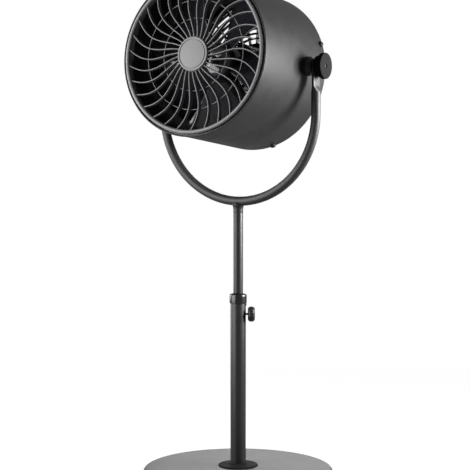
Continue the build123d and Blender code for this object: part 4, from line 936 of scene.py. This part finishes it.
def buildControlBox():
    radius, front, back = box["radius"], box["front"], box["back"]
    inner, floor, top = radius - box["wall"], back - box["wall"], back + box["ringRise"]
    ringInner, ringOuter = box["ringRadius"] - box["ringWidth"] / 2, box["ringRadius"] + box["ringWidth"] / 2
    case = lathe([
        (inner, front, smallRound), (radius, front, smallRound), (radius, back, box["round"]),
        (ringOuter, back), (ringOuter, top, hairRound), (ringInner, top, hairRound), (ringInner, back),
        (box["spindle"], back, fineRound), (box["spindle"], floor), (inner, floor, box["innerRound"]),
    ], steps=120, arcSteps=5)
    bore, length = gland["radius"] + fitGap, box["mouthLength"]
    mouth = lathe([(0, 0), (bore, 0), (bore, length), (0, length)], steps=48, closed=False)
    moved(mouth, turn=90, axis="X")  # the way in for the gland, from below
    case = carved(case, moved(mouth, y=-radius + box["mouthReach"], z=gland["setBack"]))
    finishPiece("controlBox", case, backPlace, "blackPlastic", "head", ["control_box"])


prints = {
    "circle": 31.0, "size": 8.0, "rise": 0.25, "sink": 0.02, "angles": (150, 110, 70, 30),
    "tickStart": 20.0, "tickLength": 3.0, "tickWidth": 0.9,
}


def numeral(character):
    # a plain figure as a thin raised mesh, centred and standing on Z 0
    letters = bpy.data.curves.new("figure", "FONT")
    letters.body = character
    letters.size = prints["size"]
    letters.align_x = "CENTER"
    letters.align_y = "CENTER"
    letters.extrude = prints["rise"] / 2
    letters.resolution_u = 4
    holder = linked("figure", letters)
    bm = evaluated(holder)
    bpy.data.objects.remove(holder)
    bpy.data.curves.remove(letters)
    return moved(bm, z=prints["rise"] / 2)


def buildNumbers():
    level, parts = box["back"] - prints["sink"], []
    for character, angle in zip("0123", prints["angles"]):
        turn = math.radians(angle)
        x, y = prints["circle"] * math.cos(turn), prints["circle"] * math.sin(turn)
        parts.append(moved(numeral(character), x=x, y=y, z=level))
        tick = block(prints["tickLength"], prints["tickWidth"], prints["rise"])
        moved(tick, x=prints["tickStart"] + prints["tickLength"] / 2, z=level)
        parts.append(moved(tick, turn=angle))
    finishPiece("dialNumbers", joined(*parts), backPlace, "printInk", "head")


def buildBoxScrews():
    screws = []
    for side in (1, -1):
        screw = panScrew(box["screwRadius"], box["screwHeight"], box["shankRadius"], box["shankLength"])
        screws.append(moved(screw, x=side * box["screwCircle"], z=box["back"] + fitGap))
    finishPiece("boxScrews", joined(*screws), backPlace, "blackScrew", "head", ["box_screws"])


dial = {
    "radius": 17.0, "foot": 104.1, "shoulder": 112.1, "top": 120.1, "bore": box["spindle"], "taper": 1.0,
    "shoulderRound": 1.6, "roof": 2.0, "notches": 24, "notchDepth": 0.7, "notchBand": 1.4,
    "barLength": 31.0, "barWidth": 8.2, "barRound": 1.6, "barSink": 1.0, "narrowing": 0.18,
    "shortening": 0.10, "pointerWidth": 1.4, "pointerLength": 9.0, "pointerHeight": 0.4,
    "pointerSink": 0.35, "pointerSetIn": 3.4, "pointerRound": 0.1,
}


def buildDial():
    foot, shoulder = dial["foot"], dial["shoulder"]
    skirt = lathe([
        (dial["bore"], foot), (dial["radius"], foot, plainRound),
        (dial["radius"] - dial["taper"], shoulder, dial["shoulderRound"]), (0, shoulder),
        (0, shoulder - dial["roof"]), (dial["bore"], shoulder - dial["roof"]),
    ], steps=192, closed=False)
    notched(skirt, dial["radius"] - dial["notchBand"], dial["notches"], dial["notchDepth"])
    height = dial["top"] - shoulder + dial["barSink"]
    bar = block(dial["barWidth"], dial["barLength"], height, dial["barRound"], 4)
    for vert in bar.verts:  # narrower at its top
        share = vert.co.z / height
        vert.co.x *= 1 - dial["narrowing"] * share
        vert.co.y *= 1 - dial["shortening"] * share
    moved(bar, z=shoulder - dial["barSink"])
    finishPiece("speedDial", joined(skirt, bar), backPlace, "dialPlastic", "speed_knob",
                ["speed_dial"])
    pointer = block(dial["pointerWidth"], dial["pointerLength"], dial["pointerHeight"], dial["pointerRound"])
    moved(pointer, y=(dial["barLength"] - dial["pointerLength"]) / 2 - dial["pointerSetIn"],
          z=dial["top"] - dial["pointerSink"])
    moved(pointer, turn=prints["angles"][0] - 90)
    finishPiece("dialPointer", pointer, backPlace, "printInk", "speed_knob")


gland = {
    "radius": 6.0, "bore": 3.5, "setBack": 89.9, "start": 48.0, "seat": 54.1, "end": 66.0,
    "flangeRadius": 8.0, "flangeDepth": 3.0, "flangeRound": 1.0, "flangeSlope": 3.2,
    # the ribbed cone over the flange: ridge, slope and groove are shares of one step
    "coneStart": 3.6, "coneMargin": 4.0, "grooves": 3, "taper": 0.3, "grooveDepth": 1.4,
    "ridge": 0.55, "slope": 0.65, "groove": 0.95,
}


def buildGland():
    bore, outer, seat, end = gland["bore"], gland["radius"], gland["seat"], gland["end"]
    brim, groove = gland["flangeRadius"], outer - gland["grooveDepth"]
    profile = [
        (bore, gland["start"]), (outer, gland["start"], fullRound), (outer, seat - fitGap),
        (brim, seat, softRound), (brim, seat + gland["flangeDepth"], gland["flangeRound"]),
        (outer, seat + gland["flangeSlope"], smallRound),
    ]
    step = (end - seat - gland["coneMargin"]) / gland["grooves"]
    for k in range(gland["grooves"]):
        level, ridge = seat + gland["coneStart"] + step * k, outer - gland["taper"] * k
        profile += [(ridge, level, fineRound), (ridge, level + gland["ridge"] * step, fineRound),
                    (groove, level + gland["slope"] * step, hairRound),
                    (groove, level + gland["groove"] * step, hairRound)]
    profile += [(groove, end, plainRound), (bore, end, smallRound)]
    spot = pivot - forward * gland["setBack"] / metre
    finishPiece("cordGland", lathe(profile, steps=48), axisFrame(spot, -headUp, rightward), "rubber", "head",
                ["cord_gland"])


buildControlBox()
buildNumbers()
buildBoxScrews()
buildDial()
buildGland()
print("controls made")


# lengths in metres, but lens and sensor in millimetres; angles in degrees and power in watts
studio = {
    "cameraSpot": (1.6179, -2.7746, 0.7296), "heading": 30.363, "pitch": -4.082, "lens": 119.70,
    "sensor": 36.0, "clipEnd": 60.0, "aimHeight": 0.62,
    "floorRadius": 12.0, "floorDrop": 0.0003, "floorFade": (0.7, 1.8), "floorColour": 0.12,
    "floorRoughness": 0.9, "floorGlow": 0.86, "farGlow": 0.30, "mirrored": 0.25,
    "roomLevel": 0.09, "whiteUpTo": 0.30, "darkFrom": 0.75, "ceiling": 0.05,
    "darkSide": (0.50, 0.80), "darkLevel": 0.10,
}
# bearings are to the right of the camera as seen from the fan
lamps = {
    "leftSoftbox": dict(bearing=-66, distance=2.0, height=0.8, width=1.7, tall=2.2, power=82),
    "sideSoftbox": dict(bearing=-122, distance=2.2, height=0.8, width=1.0, tall=1.3, power=26),
    "backSoftbox": dict(bearing=176, distance=2.6, height=1.02, width=1.6, tall=0.5, power=18),
    "rightSoftbox": dict(bearing=83, distance=1.16, height=0.815, width=0.55, tall=0.55, power=51),
}


def softbox(name, bearing, distance, height, width, tall, power):
    lamp = bpy.data.lights.new(name, "AREA")
    lamp.shape = "RECTANGLE"
    lamp.size = width
    lamp.size_y = tall
    lamp.energy = power
    angle = math.radians(studio["heading"] - 90 + bearing)
    spot = Vector((distance * math.cos(angle), distance * math.sin(angle), height))
    holder = linked(name, lamp)
    holder.location = spot
    holder.rotation_euler = (upward * studio["aimHeight"] - spot).to_track_quat("-Z", "Y").to_euler()


def mathNode(tree, operation, first, second):
    # a math node whose inputs are sockets or plain numbers
    node = tree.nodes.new("ShaderNodeMath")
    node.operation = operation
    for place, value in enumerate((first, second)):
        if isinstance(value, (int, float)):
            node.inputs[place].default_value = value
        else:
            tree.links.new(value, node.inputs[place])
    return node.outputs["Value"]


def rampNode(tree, value, start, end, low=0.0, high=1.0):
    # low below start, high above end, smooth between
    node = tree.nodes.new("ShaderNodeMapRange")
    node.interpolation_type = "SMOOTHSTEP"
    for name, number in (("From Min", start), ("From Max", end), ("To Min", low), ("To Max", high)):
        node.inputs[name].default_value = number
    tree.links.new(value, node.inputs["Value"])
    return node.outputs["Result"]


def shownRays(tree):
    # 1 for camera and transmission rays, and less for glossy ones: dark paint mirrors a dim background
    rays = tree.nodes.new("ShaderNodeLightPath")
    mirrored = mathNode(tree, "MULTIPLY", rays.outputs["Is Glossy Ray"], studio["mirrored"])
    most = mathNode(tree, "MAXIMUM", rays.outputs["Is Camera Ray"], mirrored)
    return mathNode(tree, "MAXIMUM", most, rays.outputs["Is Transmission Ray"])


def buildCamera():
    camera = bpy.data.cameras.new("camera")
    camera.lens = studio["lens"]
    camera.sensor_width = studio["sensor"]
    camera.clip_end = studio["clipEnd"]
    holder = linked("camera", camera)
    holder.location = studio["cameraSpot"]
    holder.rotation_euler = (math.radians(90 + studio["pitch"]), 0, math.radians(studio["heading"]))
    bpy.context.scene.camera = holder


def floorMaterial():
    # dark near the fan with a glow for shown rays alone, and further out a pale glow for all rays
    material = bpy.data.materials.new("studioFloor")
    material.use_nodes = True
    tree = material.node_tree
    near = tree.nodes["Principled BSDF"]
    near.inputs["Base Color"].default_value = [studio["floorColour"]] * 3 + [1]
    near.inputs["Roughness"].default_value = studio["floorRoughness"]
    near.inputs["Specular IOR Level"].default_value = 0.0
    near.inputs["Emission Color"].default_value = (1, 1, 1, 1)
    seen = shownRays(tree)
    tree.links.new(mathNode(tree, "MULTIPLY", seen, studio["floorGlow"]), near.inputs["Emission Strength"])
    far = tree.nodes.new("ShaderNodeEmission")
    tree.links.new(mathNode(tree, "MAXIMUM", seen, studio["farGlow"]), far.inputs["Strength"])
    coords = tree.nodes.new("ShaderNodeTexCoord")
    distance = tree.nodes.new("ShaderNodeVectorMath")
    distance.operation = "LENGTH"
    tree.links.new(coords.outputs["Object"], distance.inputs[0])
    mixed = tree.nodes.new("ShaderNodeMixShader")
    tree.links.new(rampNode(tree, distance.outputs["Value"], *studio["floorFade"]), mixed.inputs["Fac"])
    tree.links.new(near.outputs["BSDF"], mixed.inputs[1])
    tree.links.new(far.outputs["Emission"], mixed.inputs[2])
    tree.links.new(mixed.outputs["Shader"], tree.nodes["Material Output"].inputs["Surface"])
    return material


def buildFloor():
    bm = bmesh.new()
    bmesh.ops.create_circle(bm, cap_ends=True, segments=96, radius=studio["floorRadius"])
    bmesh.ops.translate(bm, verts=bm.verts, vec=(0, 0, -studio["floorDrop"]))
    mesh = meshOf(bm, "floor")
    mesh.materials.append(floorMaterial())
    floor = linked("floor", mesh)


def buildWorld():
    # white all round for the camera; the object meets a dark ceiling and a dark room behind the camera
    world = bpy.data.worlds.new("studio")
    bpy.context.scene.world = world
    world.use_nodes = True
    tree = world.node_tree
    coords = tree.nodes.new("ShaderNodeTexCoord")
    parts = tree.nodes.new("ShaderNodeSeparateXYZ")
    tree.links.new(coords.outputs["Generated"], parts.inputs[0])
    low = rampNode(tree, parts.outputs["Z"], studio["whiteUpTo"], studio["darkFrom"], 1.0, studio["ceiling"])
    heading = math.radians(studio["heading"])
    toCamera = tree.nodes.new("ShaderNodeVectorMath")
    toCamera.operation = "DOT_PRODUCT"
    toCamera.inputs[1].default_value = (math.sin(heading), -math.cos(heading), 0)
    tree.links.new(coords.outputs["Generated"], toCamera.inputs[0])
    side = rampNode(tree, toCamera.outputs["Value"], *studio["darkSide"], 1.0, studio["darkLevel"])
    around = mathNode(tree, "MULTIPLY", mathNode(tree, "MULTIPLY", low, side), studio["roomLevel"])
    backdrop = shownRays(tree)
    tree.links.new(mathNode(tree, "MAXIMUM", backdrop, around), tree.nodes["Background"].inputs["Strength"])
    tree.nodes["Background"].inputs["Color"].default_value = (1, 1, 1, 1)


buildCamera()
buildFloor()
buildWorld()
for name, values in lamps.items():
    softbox(name, **values)
bpy.context.scene.view_settings.view_transform = "Standard"
print("studio made")
